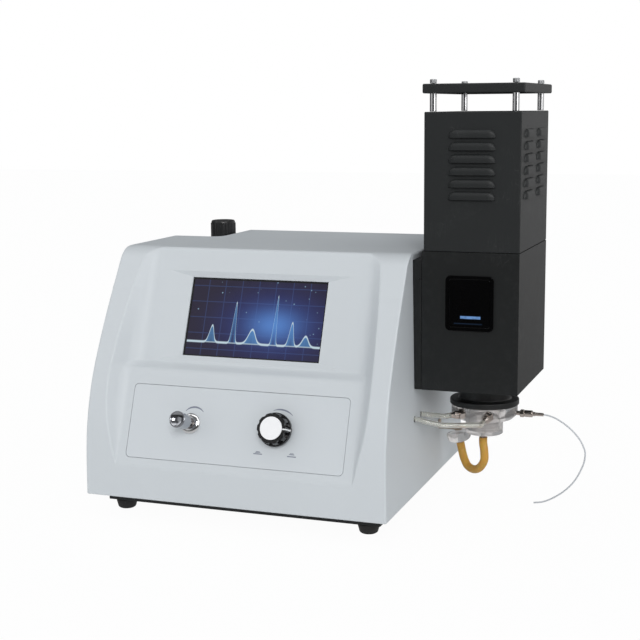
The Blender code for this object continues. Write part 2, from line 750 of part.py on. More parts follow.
def centre_y(z):
    """Depth of the trough's floor at a height: lower panel, shoulder and upper plane."""
    if z <= PANEL_TOP:
        return panel_y(z)
    if z <= SHOULDER_TOP:
        share = (z - PANEL_TOP) / (SHOULDER_TOP - PANEL_TOP)
        return panel_y(PANEL_TOP) + interpolate(SHOULDER_SHARES, share) * SHOULDER_DEPTH
    return CREASE_Y + (z - SHOULDER_TOP) * math.tan(UPPER_LEAN)


def station_heights():
    """Heights at which the casing's cross-section is drawn."""
    heights = [CASING_BOTTOM + share * CASING_HEIGHT for share, _ in CHEEK_SHARES]
    heights[1] = PANEL_FOOT
    heights += [PANEL_TOP, SHOULDER_TOP, CASING_TOP]
    heights += [PANEL_TOP + share * (SHOULDER_TOP - PANEL_TOP) for share, _ in SHOULDER_SHARES[1:-1]]
    heights = [z for z in heights if not PANEL_TOP < z < SHOULDER_TOP or z in heights[-2:]]
    brow = math.pi / 2 - CHEEK_LEAN
    heights += [CHEEK_ARC_Z + CHEEK_ROUNDING * math.cos(brow * step / CHEEK_ROUNDING_STEPS)
                for step in range(1, CHEEK_ROUNDING_STEPS + 1)]
    heights.sort()
    kept = [heights[0]]
    for z in heights[1:]:
        if z - kept[-1] > GAP:
            kept.append(z)
    return kept


def casing_section(z, wall, front_wall, back):
    """Corners of the casing's cross-section at a height, inset by its walls."""
    side = side_x(z) - wall
    mouth = interpolate(MOUTH_SHARES, height_share(z)) * HALF_WIDTH + wall
    foot = interpolate(FOOT_SHARES, height_share(z)) * HALF_WIDTH + wall
    outer = cheek_y(z) + front_wall
    inner = centre_y(z) + front_wall
    half = [(side, back), (side, outer), (mouth, outer), (foot, inner)]
    return [(-x, y) for x, y in half] + [(x, y) for x, y in reversed(half)]


# Sides of the cross-section that twist between heights: the trough's two walls
TROUGH_WALLS = (2, 4)


def casing_loft(name, wall, front_wall, back, low, high, surface=None, guide=False):
    """A closed solid through the casing's cross-sections, from the height low to the height high."""
    heights = [z for z in station_heights() if low < z < high]
    heights = [low] + heights + [high]
    bm = bmesh.new()
    rings = []
    twisted = []
    for z in heights:
        known = min(max(z, CASING_BOTTOM), CASING_TOP)
        rings.append([bm.verts.new((x, y, z)) for x, y in casing_section(known, wall, front_wall, back)])
    for lower, upper in zip(rings, rings[1:]):
        for i in range(len(lower)):
            j = (i + 1) % len(lower)
            wall_face = bm.faces.new((lower[i], lower[j], upper[j], upper[i]))
            if i in TROUGH_WALLS:
                twisted.append(wall_face)
    bmesh.ops.triangulate(bm, faces=twisted)
    bm.faces.new(list(reversed(rings[0])))
    bm.faces.new(rings[-1])
    return mesh_object(name, bm, surface, guide=guide)


UPPER_FRAME = empty("upper_plane_frame", CASING_FRAME, (0, CREASE_Y, SHOULDER_TOP),
                    (math.pi / 2 - UPPER_LEAN, 0, 0))
PANEL_FRAME = empty("lower_panel_frame", CASING_FRAME, (0, 0, PANEL_FOOT),
                    (math.pi / 2 - PANEL_LEAN, 0, 0))

# Places in the two leaning frames: X across, Y up along the plane, Z out of it
WALL_BACK = -FRONT_WALL
VALVE_Y = PLATE_RISE + VALVE_RISE

REAR_OUT = CASING_DEPTH - REAR_INSET
REAR_IN = REAR_OUT - REAR_SHEET


def slab(name, centre, size, near, far, surface=None):
    """A box square to Y between two depths. Its centre and size are in X and Z. Without a surface it cuts."""
    (x, z), (width, height) = centre, size
    return block(name, (x - width / 2, near, z - height / 2), (x + width / 2, far, z + height / 2), surface,
                 guide=surface is None)


def niche_block(name, wall):
    """The corner niche's space, grown by a wall on its inner sides."""
    side = NICHE_SIDE + wall
    front = NICHE_FRONT - wall
    corner = NICHE_CORNER + wall
    left = -HALF_WIDTH - OVERRUN
    back = CASING_DEPTH + 2 * OVERRUN
    outline = [(left, front)]
    for step in range(NICHE_CORNER_STEPS + 1):
        angle = (step / NICHE_CORNER_STEPS - 1) * math.pi / 2
        outline.append((side - corner + corner * math.cos(angle), front + corner + corner * math.sin(angle)))
    outline += [(side, back), (left, back)]
    low = NICHE_FLOOR - wall
    height = CASING_TOP + OVERRUN - low
    return sheet(name, outline, height, None, location=(0, 0, low + height / 2), guide=True)


def valve_holes(piece, wall_name, depth):
    """Holes for the two valves' sleeves, through a wall of the lower panel."""
    for valve, x, radius in (("fine", FINE_VALVE_X, FINE_SLEEVE_RADIUS),
                             ("gas", GAS_VALVE_X, GAS_SLEEVE_RADIUS)):
        cut(piece, rod("%s_%s_hole" % (wall_name, valve), radius + GAP, (x, VALVE_Y, -depth),
                       (x, VALVE_Y, OVERRUN), parent=PANEL_FRAME, guide=True))


def side_hole(name, radius, y, z, sides=ROUND):
    """A hole through the casing's right wall."""
    side = side_x(z)
    return rod(name, radius, (side - SIDE_WALL - OVERRUN, y, z), (side + OVERRUN, y, z), sides=sides,
               guide=True)


def make_casing_cover():
    """The moulded shell: cheeks, leaning front, top and sides, open below and behind."""
    cover = casing_loft("casing_cover", 0, 0, CASING_DEPTH, CASING_BOTTOM, CASING_TOP, LIGHT_GREY)
    inside = casing_loft("casing_inside", SIDE_WALL, FRONT_WALL, CASING_DEPTH + OVERRUN,
                         CASING_BOTTOM - OVERRUN, CASING_TOP - SIDE_WALL, guide=True)
    cut(inside, niche_block("niche_with_wall", SIDE_WALL))
    cut(cover, inside, niche_block("niche_space", 0))

    recess = block("screen_recess", (-SCREEN_WIDTH / 2, -SCREEN_HEIGHT / 2, -RECESS_DEPTH),
                   (SCREEN_WIDTH / 2, SCREEN_HEIGHT / 2, 0), parent=UPPER_FRAME, guide=True)
    recess.location = (0, SCREEN_RISE, -RECESS_DEPTH / 2)
    reach = 1 + GAP / RECESS_DEPTH
    for vertex in recess.data.vertices:
        if vertex.co.z > 0:
            vertex.co.x += math.copysign(RECESS_SIDE * reach, vertex.co.x)
            vertex.co.y += math.copysign(RECESS_TOP * reach, vertex.co.y)
            vertex.co.z += GAP
    opening = block("screen_opening", (-SCREEN_WIDTH / 2, SCREEN_RISE - SCREEN_HEIGHT / 2, 2 * WALL_BACK),
                    (SCREEN_WIDTH / 2, SCREEN_RISE + SCREEN_HEIGHT / 2, OVERRUN), parent=UPPER_FRAME,
                    guide=True)
    outline = rounded_rectangle(PLATE_WIDTH + 2 * PLATE_GROOVE, PLATE_HEIGHT + 2 * PLATE_GROOVE,
                                PLATE_CORNER + PLATE_GROOVE)
    depth = PLATE_THICKNESS + GAP
    plate_recess = sheet("plate_recess", outline, depth + OVERRUN, None, PANEL_FRAME,
                         (0, PLATE_RISE, (OVERRUN - depth) / 2), guide=True)
    cut(cover, recess, opening, plate_recess)
    valve_holes(cover, "casing", 2 * FRONT_WALL)
    cut(cover, side_hole("gas_tube_hole", TUBE_HOLE_RADIUS, GAS_TUBE_Y, TUBE_EXIT_Z, COARSE),
        side_hole("air_tube_hole", TUBE_HOLE_RADIUS, AIR_TUBE_Y, TUBE_EXIT_Z, COARSE),
        side_hole("optics_hole", SNOUT_RADIUS + GAP, TOWER_Y, OPTICS_Z))


def make_control_plate():
    plate = sheet("control_panel", rounded_rectangle(PLATE_WIDTH, PLATE_HEIGHT, PLATE_CORNER),
                  PLATE_THICKNESS,
                  LIGHT_GREY, PANEL_FRAME, (0, PLATE_RISE, -PLATE_THICKNESS / 2))
    valve_holes(plate, "plate", FRONT_WALL)


def make_screen():
    """The touch glass behind the casing's lip, and the display module behind the glass."""
    half_width = SCREEN_WIDTH / 2 + GLASS_BORDER
    half_height = SCREEN_HEIGHT / 2 + GLASS_BORDER
    front = WALL_BACK - GAP
    block("screen_glass", (-half_width, SCREEN_RISE - half_height, front - GLASS_THICKNESS),
          (half_width, SCREEN_RISE + half_height, front), SCREEN, UPPER_FRAME)
    front -= GLASS_THICKNESS + GAP
    back = front - DISPLAY_THICKNESS
    module = block("display_module", (-half_width, SCREEN_RISE - half_height, back),
                   (half_width, SCREEN_RISE + half_height, front), BLACK_PLASTIC, UPPER_FRAME)
    plug = block("display_plug",
                 (-DISPLAY_PLUG_WIDTH / 2, SCREEN_RISE - DISPLAY_PLUG_HEIGHT / 2, back - DISPLAY_PLUG_DEPTH),
                 (DISPLAY_PLUG_WIDTH / 2, SCREEN_RISE + DISPLAY_PLUG_HEIGHT / 2, (front + back) / 2),
                 parent=UPPER_FRAME, guide=True)
    join(module, plug)


def make_fine_valve():
    """Needle valve: body behind the wall, nut on the plate, and the spindle with a flared hollow grip."""
    at = (FINE_VALVE_X, VALVE_Y, 0)
    back = WALL_BACK - GAP
    foot = back - FINE_BODY_LENGTH
    top = FINE_NUT_THICKNESS
    well = SPINDLE_RADIUS + GAP
    turned("fine_valve_body", [(well, top), (FINE_SLEEVE_RADIUS, top), (FINE_SLEEVE_RADIUS, back),
                               (FINE_BODY_RADIUS, back), (FINE_BODY_RADIUS, foot), (well, foot)],
           NICKEL, PANEL_FRAME, at)
    bore = FINE_SLEEVE_RADIUS + GAP
    turned("fine_valve_nut", [(bore, top), (FINE_NUT_RADIUS * NUT_FACE_SHARE, top),
                              (FINE_NUT_RADIUS, top * NUT_CHAMFER_SHARE), (FINE_NUT_RADIUS, GAP),
                              (bore, GAP)],
           CHROME, PANEL_FRAME, at)
    grip = [(GRIP_RADIUS * wide, SPINDLE_LENGTH - GRIP_LENGTH * deep) for wide, deep in GRIP_SHARES]
    turned("fine_valve_knob", [(0, SPINDLE_LENGTH - GRIP_HOLLOW)] + grip
           + [(SPINDLE_RADIUS, SPINDLE_LENGTH - GRIP_LENGTH - GRIP_ROOT), (SPINDLE_RADIUS, foot), (0, foot)],
           CHROME, PANEL_FRAME, at)


def make_gas_valve():
    """Push-and-turn gas valve: body, sliding stem, fluted knob and the metal disc on it."""
    at = (GAS_VALVE_X, VALVE_Y, 0)
    back = WALL_BACK - GAP
    foot = back - GAS_BODY_LENGTH
    well = STEM_RADIUS + GAP
    stem_foot = back - STEM_DEPTH
    floor = stem_foot - GAS_PUSH - GAP
    turned("gas_valve_body", [(well, -GAP), (GAS_SLEEVE_RADIUS, -GAP), (GAS_SLEEVE_RADIUS, back),
                              (GAS_BODY_RADIUS, back), (GAS_BODY_RADIUS, foot), (GAS_PORT_RADIUS, foot),
                              (GAS_PORT_RADIUS, floor), (well, floor)], NICKEL, PANEL_FRAME, at)
    top = KNOB_CLEARANCE + KNOB_HEIGHT
    ceiling = top - KNOB_CEILING
    turned("gas_valve_stem", [(0, ceiling - GAP), (STEM_RADIUS, ceiling - GAP), (STEM_RADIUS, stem_foot),
                              (0, stem_foot)], ZINC, PANEL_FRAME, at, sides=COARSE)
    skirt = KNOB_CLEARANCE + KNOB_SKIRT_HEIGHT
    knob = turned("gas_knob", [(0, top), (KNOB_CROWN_RADIUS - KNOB_CROWN_EDGE, top),
                               (KNOB_CROWN_RADIUS, top - KNOB_CROWN_EDGE), (KNOB_RADIUS, skirt),
                               (KNOB_SKIRT_RADIUS, skirt - KNOB_SKIRT_EDGE),
                               (KNOB_SKIRT_RADIUS, KNOB_CLEARANCE),
                               (well, KNOB_CLEARANCE), (well, ceiling), (0, ceiling)],
                  BLACK_PLASTIC, PANEL_FRAME, at, sides=FINE)
    reach = KNOB_RADIUS + KNOB_FLUTE_RADIUS - KNOB_FLUTE_DEPTH
    for flute in range(KNOB_FLUTES):
        angle = (flute + 0.5) / KNOB_FLUTES * 2 * math.pi
        x = GAS_VALVE_X + reach * math.cos(angle)
        y = VALVE_Y + reach * math.sin(angle)
        cut(knob, rod("knob_flute_%02d" % (flute + 1), KNOB_FLUTE_RADIUS, (x, y, skirt),
                      (x, y, top + OVERRUN),
                      parent=PANEL_FRAME, sides=OCTAGON, guide=True))
    low = top + GAP
    high = low + KNOB_DISC_THICKNESS
    turned("gas_knob_cap", [(0, high), (KNOB_DISC_RADIUS - KNOB_DISC_EDGE, high),
                            (KNOB_DISC_RADIUS, high - KNOB_DISC_EDGE), (KNOB_DISC_RADIUS, low), (0, low)],
           BRUSHED, PANEL_FRAME, at, sides=FINE)


def make_base_pan():
    """Steel pan that closes the casing below, with an out-turned rim against the casing's walls."""
    half = PAN_WIDTH / 2
    back = REAR_IN - GAP
    rim_half = side_x(PAN_RIM) - SIDE_WALL - GAP
    rim_front = cheek_y(PAN_RIM) + FRONT_WALL + GAP
    pan = block("base_plate", (-half, PAN_FRONT, PAN_BOTTOM), (half, back, PAN_RIM), BLACK_STEEL)
    rim = block("pan_rim", (-rim_half, rim_front, PAN_RIM - PAN_SHEET), (rim_half, back, PAN_RIM), guide=True)
    inside = block("pan_inside", (-half + PAN_SHEET, PAN_FRONT + PAN_SHEET, PAN_BOTTOM + PAN_SHEET),
                   (half - PAN_SHEET, back - PAN_SHEET, PAN_RIM + OVERRUN), guide=True)
    join(pan, rim)
    cut(pan, inside)


def make_feet():
    """Four tapered rubber feet under the pan."""
    top = PAN_BOTTOM - GAP
    across = PAN_WIDTH / 2 - FOOT_INSET_X
    for end, y in (("front", PAN_FRONT + FOOT_INSET_FRONT), ("back", CASING_DEPTH - FOOT_INSET_BACK)):
        for side, x in (("left", -across), ("right", across)):
            turned("foot_%s_%s" % (end, side),
                   [(0, top), (FOOT_RADIUS, top), (FOOT_RADIUS, top - FOOT_EDGE),
                    (FOOT_TIP_RADIUS + 2 * FOOT_ROUNDING, FOOT_EDGE), (FOOT_TIP_RADIUS, FOOT_ROUNDING),
                    (FOOT_TIP_RADIUS - FOOT_EDGE, 0), (0, 0)], RUBBER, location=(x, y, 0))


def make_electronics():
    """Main board on its standoffs and the power supply, both on the pan's floor."""
    floor = PAN_BOTTOM + PAN_SHEET + GAP
    low = floor + BOARD_STANDOFF
    middle = low + BOARD_THICKNESS / 2
    left, right = BOARD_X - BOARD_WIDTH / 2, BOARD_X + BOARD_WIDTH / 2
    front, back = BOARD_Y - BOARD_DEPTH / 2, BOARD_Y + BOARD_DEPTH / 2
    board = block("main_board", (left, front, low), (right, back, low + BOARD_THICKNESS), GREEN_BOARD)
    inset = 2 * STANDOFF_RADIUS
    for x in (left + inset, right - inset):
        for y in (front + inset, back - inset):
            join(board, rod("standoff", STANDOFF_RADIUS, (x, y, floor), (x, y, middle), sides=OCTAGON,
                            guide=True))
    for left_share, front_share, right_share, back_share, tall in COMPONENT_SHARES:
        join(board, block("component",
                          (left + left_share * BOARD_WIDTH, front + front_share * BOARD_DEPTH, middle),
                          (left + right_share * BOARD_WIDTH, front + back_share * BOARD_DEPTH,
                           low + BOARD_THICKNESS * (1 + tall)), guide=True))
    block("power_supply", (SUPPLY_X - SUPPLY_WIDTH / 2, SUPPLY_Y - SUPPLY_DEPTH / 2, floor),
          (SUPPLY_X + SUPPLY_WIDTH / 2, SUPPLY_Y + SUPPLY_DEPTH / 2, floor + SUPPLY_HEIGHT), ZINC,
          edge=PAN_SHEET)


def rear_outline():
    """Outline of the rear panel in X and Z, inside the casing's walls and around the niche."""
    low = CASING_BOTTOM
    high = CASING_TOP - SIDE_WALL - GAP
    niche_low = NICHE_FLOOR - SIDE_WALL - GAP
    niche_side = NICHE_SIDE + SIDE_WALL + GAP

    def inner(z):
        return side_x(z) - SIDE_WALL - GAP
    return [(-inner(low), low), (inner(low), low), (inner(high), high), (niche_side, high),
            (niche_side, niche_low), (-inner(niche_low), niche_low)]


def make_rear_panel():
    panel = sheet("rear_panel", rear_outline(), REAR_SHEET, BLACK_STEEL,
                  location=(0, (REAR_OUT + REAR_IN) / 2, 0), rotation=(math.pi / 2, 0, 0))
    near, far = REAR_IN - OVERRUN, REAR_OUT + OVERRUN
    cut(panel,
        slab("inlet_hole", (INLET_X, INLET_Z), (INLET_WIDTH + 2 * GAP, INLET_HEIGHT + 2 * GAP), near, far),
        slab("switch_hole", (SWITCH_X, INLET_Z), (SWITCH_WIDTH + 2 * GAP, SWITCH_HEIGHT + 2 * GAP), near,
             far),
        rod("fan_hole", FAN_BORE, (FAN_X, near, FAN_Z), (FAN_X, far, FAN_Z), guide=True),
        rod("gas_inlet_hole", GAS_INLET_RADIUS + GAP, (GAS_INLET_X, near, GAS_INLET_Z),
            (GAS_INLET_X, far, GAS_INLET_Z), guide=True))


def make_power_inlet():
    """Mains inlet with its recessed socket and three pins."""
    at = (INLET_X, INLET_Z)
    seat = REAR_OUT + GAP
    out = seat + INLET_FLANGE
    floor = out - INLET_POCKET_DEPTH
    inlet = slab("power_inlet", at, (INLET_WIDTH, INLET_HEIGHT), seat - INLET_DEPTH, out, BLACK_PLASTIC)
    join(inlet, slab("inlet_flange", at, (INLET_WIDTH + 2 * INLET_LIP, INLET_HEIGHT + 2 * INLET_LIP), seat,
                     out))
    cut(inlet, slab("inlet_pocket", at, (INLET_POCKET_WIDTH, INLET_POCKET_HEIGHT), floor, out + OVERRUN))
    for across_share, up_share in INLET_PIN_SHARES:
        place = (INLET_X + across_share * INLET_POCKET_WIDTH, INLET_Z + up_share * INLET_POCKET_HEIGHT)
        join(inlet, slab("inlet_pin", place, (INLET_PIN_WIDTH, INLET_PIN_HEIGHT), floor - GAP, seat))


def make_power_switch():
    """Rocker switch beside the inlet: its frame, and the rocker on a hub between the frame's walls."""
    at = (SWITCH_X, INLET_Z)
    seat = REAR_OUT + GAP
    out = seat + SWITCH_WALL
    back = seat - SWITCH_DEPTH
    well = (SWITCH_WIDTH - 2 * SWITCH_WALL, SWITCH_HEIGHT - 2 * SWITCH_WALL)
    frame = slab("switch_frame", at, (SWITCH_WIDTH, SWITCH_HEIGHT), back, out, BLACK_PLASTIC)
    join(frame, slab("switch_flange", at, (SWITCH_WIDTH + 2 * SWITCH_WALL, SWITCH_HEIGHT + 2 * SWITCH_WALL),
                     seat, out))
    cut(frame, slab("switch_well", at, well, back + SWITCH_WALL, out + OVERRUN))
    hinge = empty("switch_axis", CASING_FRAME, (SWITCH_X, seat - SWITCH_WALL, INLET_Z), (ROCKER_TILT, 0, 0))
    half = well[0] / 2 - GAP
    reach = well[1] / 2 * ROCKER_LENGTH_SHARE
    foot = reach * ROCKER_FOOT_SHARE
    brow = ROCKER_PROUD + SWITCH_WALL
    rocker = rod("switch_rocker", ROCKER_RADIUS, (-half, 0, 0), (half, 0, 0), BLACK_PLASTIC, hinge, COARSE)
    join(rocker, sheet("rocker_wing", [(-reach, brow), (0, ROCKER_PROUD), (reach, brow), (foot, -SWITCH_WALL),
                                       (-foot, -SWITCH_WALL)],
                       2 * half, None, hinge, rotation=(0, math.pi / 2, 0), guide=True))


def make_gas_inlet():
    """Barbed gas inlet through the rear panel."""
    barb = [(GAS_INLET_RADIUS * wide, GAS_INLET_LENGTH * high) for wide, high in BARB_SHARES]
    turned("gas_inlet", [(GAS_INLET_BORE, GAS_INLET_LENGTH)] + barb
           + [(GAS_INLET_NUT, barb[-1][1]), (GAS_INLET_NUT, 0), (GAS_INLET_RADIUS, 0),
              (GAS_INLET_RADIUS, -GAS_INLET_TAIL), (GAS_INLET_BORE, -GAS_INLET_TAIL)],
           NICKEL, location=(GAS_INLET_X, REAR_OUT + GAP, GAS_INLET_Z), direction=(0, 1, 0), sides=COARSE)


def make_fan():
    """Cooling fan behind the rear panel: square frame with a hub plate on struts, and the bladed rotor."""
    at = (FAN_X, FAN_Z)
    back = REAR_IN - GAP
    front = back - FAN_DEPTH
    plate_back = front + FAN_STATOR_DEPTH
    strut = 2 * (FAN_BORE + GAP)
    frame = slab("fan_frame", at, (FAN_SIZE, FAN_SIZE), front, back, BLACK_PLASTIC)
    cut(frame, rod("fan_bore", FAN_BORE, (FAN_X, front - OVERRUN, FAN_Z), (FAN_X, back + OVERRUN, FAN_Z),
                   guide=True))
    join(frame, rod("fan_stator", FAN_STATOR_RADIUS, (FAN_X, front, FAN_Z), (FAN_X, plate_back, FAN_Z),
                    sides=COARSE, guide=True),
         slab("fan_strut_level", at, (strut, FAN_STRUT), front, plate_back),
         slab("fan_strut_upright", at, (FAN_STRUT, strut), front, plate_back))
    axis = empty("fan_axis", CASING_FRAME, (FAN_X, plate_back + GAP, FAN_Z))
    depth = back - plate_back - GAP
    rotor = rod("fan_rotor", FAN_HUB, (0, 0, 0), (0, depth - GAP, 0), BLACK_PLASTIC, axis, COARSE)
    root = FAN_HUB / 2
    half = depth * FAN_BLADE_DEPTH_SHARE / 2
    for blade in range(FAN_BLADES):
        turn = Matrix.Rotation(blade / FAN_BLADES * 2 * math.pi, 4, 'Y')
        twist = Matrix.Rotation(FAN_BLADE_TURN, 4, 'X')
        vane = block("fan_blade_%d" % (blade + 1), (0, -half, -FAN_BLADE_THICKNESS / 2),
                     (FAN_BORE - FAN_TIP_CLEARANCE - root, half, FAN_BLADE_THICKNESS / 2), parent=axis,
                     guide=True)
        vane.matrix_basis = (turn @ Matrix.Translation((root, depth / 2, 0)) @ twist
                             @ Matrix.Translation(vane.location))
        join(rotor, vane)


def make_regulator():
    """Filter regulator in the corner niche: block, bonnet, bowl, and the ribbed knob on its spindle."""
    x, y = REGULATOR_X, REGULATOR_Y
    knob_low = REGULATOR_TOP - REGULATOR_KNOB_HEIGHT
    bonnet_top = knob_low - GAP
    bonnet_low = bonnet_top - BONNET_HEIGHT
    block_low = bonnet_low - REGULATOR_BLOCK_HEIGHT
    half = REGULATOR_BLOCK / 2
    bore = REGULATOR_SPINDLE_RADIUS + GAP
    body = block("regulator_body", (x - half, y - half, block_low), (x + half, y + half, bonnet_low + GAP),
                 BLACK_PLASTIC, edge=BOWL_WALL)
    bonnet = rod("regulator_bonnet", BONNET_RADIUS, (x, y, bonnet_low - GAP), (x, y, bonnet_top), guide=True,
                 end_radius=BONNET_TOP_RADIUS)
    # A side boss with its fixing face against the niche's wall carries the regulator
    boss = block("regulator_boss", (x, y - half / 2, block_low + BOWL_WALL),
                 (NICHE_SIDE - GAP, y + half / 2, bonnet_low - BOWL_WALL), guide=True)
    join(body, bonnet, boss)
    cut(body, rod("regulator_well", bore, (x, y, bonnet_low), (x, y, bonnet_top + OVERRUN), sides=COARSE,
                  guide=True))
    make_filter_bowl((x, y, block_low - GAP))
    spindle_foot = bonnet_low + GAP
    spindle = bonnet_top + REGULATOR_KNOB_WELL - bonnet_low
    turned("regulator_spindle", [(0, spindle), (REGULATOR_SPINDLE_RADIUS, spindle),
                                 (REGULATOR_SPINDLE_RADIUS, 0),
                                 (0, 0)], ZINC, location=(x, y, spindle_foot), sides=COARSE)
    radius = REGULATOR_KNOB_RADIUS - REGULATOR_RIB
    well = REGULATOR_KNOB_WELL + REGULATOR_WELL_CLEARANCE
    high = REGULATOR_KNOB_HEIGHT
    knob = turned("regulator_knob", [(0, high), (radius * REGULATOR_KNOB_CROWN_SHARE, high),
                                     (radius, high - REGULATOR_KNOB_EDGE), (radius, 0), (bore, 0),
                                     (bore, well),
                                     (0, well)],
                  BLACK_PLASTIC, location=(x, y, knob_low), sides=REGULATOR_KNOB_RIBS)
    for rib in range(REGULATOR_KNOB_RIBS):
        angle = rib / REGULATOR_KNOB_RIBS * 2 * math.pi
        rib_x, rib_y = x + radius * math.cos(angle), y + radius * math.sin(angle)
        join(knob, rod("knob_rib_%02d" % (rib + 1), REGULATOR_RIB, (rib_x, rib_y, knob_low + REGULATOR_RIB),
                       (rib_x, rib_y, REGULATOR_TOP - REGULATOR_RIB_STOP), sides=HEXAGON, guide=True))


def make_filter_bowl(top):
    """The filter's clear bowl: collar, round foot and drain cock, open above."""
    collar = BOWL_RADIUS + BOWL_COLLAR_STEP
    inner = BOWL_RADIUS - BOWL_WALL
    shoulder = -BOWL_HEIGHT + 2 * BOWL_WALL
    cock = -BOWL_HEIGHT - DRAIN_COCK_LENGTH
    turned("filter_bowl", [(inner, 0), (collar, 0), (collar, -BOWL_COLLAR), (BOWL_RADIUS, -BOWL_COLLAR),
                           (BOWL_RADIUS, shoulder), (inner, -BOWL_HEIGHT), (DRAIN_COCK_RADIUS, -BOWL_HEIGHT),
                           (DRAIN_COCK_RADIUS, cock), (0, cock), (0, -BOWL_HEIGHT + BOWL_WALL),
                           (inner, shoulder)], ACRYLIC, location=top)


def make_flange():
    """Mounting flange between the casing's leaning side and the housing, with the optics' bore."""
    left = side_x(HOUSING_BOTTOM) + GAP
    flange = block("mounting_flange", (left, TOWER_FRONT, HOUSING_BOTTOM),
                   (HOUSING_LEFT - GAP, FLANGE_BACK, FLANGE_TOP), BLACK_STEEL)
    for vertex in flange.data.vertices:
        if vertex.co.x < 0 and vertex.co.z > 0:
            vertex.co.x -= SIDE_DRAFT_SHARE * (FLANGE_TOP - HOUSING_BOTTOM)
    cut(flange, rod("flange_bore", SNOUT_RADIUS + GAP, (left - OVERRUN, TOWER_Y, OPTICS_Z),
                    (HOUSING_LEFT + OVERRUN, TOWER_Y, OPTICS_Z), guide=True))


def make_housing():
    """Burner housing: an open-topped box with holes for burner, optics, window and igniter."""
    low = (HOUSING_LEFT, TOWER_FRONT, HOUSING_BOTTOM)
    high = (TOWER_RIGHT, TOWER_BACK, HOUSING_TOP)
    housing = block("burner_housing", low, high, BLACK_STEEL)
    cut(housing,
        block("housing_inside", [corner + TOWER_SHEET for corner in low],
              (TOWER_RIGHT - TOWER_SHEET, TOWER_BACK - TOWER_SHEET, HOUSING_TOP + OVERRUN), guide=True),
        rod("housing_floor_hole", HEAD_CAP_RADIUS + TOWER_SHEET,
            (BURNER_X, BURNER_Y, HOUSING_BOTTOM - OVERRUN),
            (BURNER_X, BURNER_Y, HOUSING_BOTTOM + TOWER_SHEET + OVERRUN), guide=True),
        rod("housing_optics_hole", SNOUT_RADIUS + GAP, (HOUSING_LEFT - OVERRUN, TOWER_Y, OPTICS_Z),
            (HOUSING_LEFT + TOWER_SHEET + OVERRUN, TOWER_Y, OPTICS_Z), guide=True),
        slab("housing_window", (TOWER_X, WINDOW_CENTRE), (WINDOW_OPENING_WIDTH, WINDOW_OPENING_HEIGHT),
             TOWER_FRONT - OVERRUN, TOWER_FRONT + TOWER_SHEET + OVERRUN),
        rod("igniter_hole", IGNITER_RADIUS + GAP, (BURNER_X, TOWER_BACK - TOWER_SHEET - OVERRUN, IGNITER_Z),
            (BURNER_X, TOWER_BACK + OVERRUN, IGNITER_Z), sides=COARSE, guide=True))


def make_window():
    """The housing's window: a proud frame with a dark glass inside it."""
    facing = (math.pi / 2, 0, 0)
    face = TOWER_FRONT - GAP
    inner = (WINDOW_WIDTH - 2 * WINDOW_BORDER, WINDOW_HEIGHT - 2 * WINDOW_BORDER)
    bezel = sheet("window_bezel", rounded_rectangle(WINDOW_WIDTH, WINDOW_HEIGHT, WINDOW_CORNER), WINDOW_PROUD,
                  BLACK_GLOSS, location=(TOWER_X, face - WINDOW_PROUD / 2, WINDOW_CENTRE), rotation=facing)
    cut(bezel, sheet("bezel_opening", rounded_rectangle(*inner, WINDOW_INNER_CORNER), OVERRUN, None,
                     location=(TOWER_X, TOWER_FRONT, WINDOW_CENTRE), rotation=facing, guide=True))
    sheet("viewing_window", rounded_rectangle(inner[0] - 2 * GAP, inner[1] - 2 * GAP, WINDOW_INNER_CORNER),
          WINDOW_GLASS, BLACK_GLOSS, location=(TOWER_X, face - WINDOW_GLASS / 2, WINDOW_CENTRE),
          rotation=facing)


def louvre(name, place, grow=0):
    """A louvre's bulge on the plane Z=0 of its own frame, Y up: flat mouth below, sloping top and ends.

    A bulge that is smaller all round, by grow, is the space under the louvre's sheet.
    """
    high = LOUVRE_HEIGHT / 2 - grow
    low = -LOUVRE_HEIGHT / 2 - (GAP if grow else 0)
    root = -2 * TOWER_SHEET if grow else -TOWER_SHEET / 2
    rise = LOUVRE_PROUD - grow
    # The drawn-in end, the height and the rise of each corner, by its place: proud of the sheet, and upper
    corners = {(True, True): (LOUVRE_END, high - LOUVRE_HEIGHT * LOUVRE_TOP_SHARE, rise * LOUVRE_CROWN_SHARE),
               (True, False): (LOUVRE_END * LOUVRE_LIP_END_SHARE, low, rise),
               (False, True): (LOUVRE_END * LOUVRE_ROOT_END_SHARE, high, root),
               (False, False): (0, low, root)}
    bm = bmesh.new()
    bmesh.ops.create_cube(bm, size=1.0)
    for vertex in bm.verts:
        end, y, z = corners[vertex.co.z > 0, vertex.co.y > 0]
        vertex.co = (math.copysign(LOUVRE_WIDTH / 2 - grow - end, vertex.co.x), y, z)
    bmesh.ops.triangulate(bm, faces=bm.faces)
    made = mesh_object(name, bm, None, guide=True)
    made.matrix_basis = place
    return made


def louvre_places():
    """Places of the cover's louvres: one column of rows at the front and back, two at each side."""
    middle_x = (COVER_LEFT + TOWER_RIGHT) / 2
    columns = [(middle_x, TOWER_FRONT, 0), (middle_x, TOWER_BACK, math.pi)]
    for y in (TOWER_Y - LOUVRE_COLUMN_SPACING / 2, TOWER_Y + LOUVRE_COLUMN_SPACING / 2):
        columns += [(TOWER_RIGHT, y, math.pi / 2), (COVER_LEFT, y, -math.pi / 2)]
    upright = Matrix.Rotation(math.pi / 2, 4, 'X')
    places = []
    for row in range(LOUVRE_ROWS):
        z = LOUVRE_TOP - LOUVRE_HEIGHT / 2 - row * LOUVRE_PITCH
        places += [Matrix.Translation((x, y, z)) @ Matrix.Rotation(turn, 4, 'Z') @ upright
                   for x, y, turn in columns]
    return places


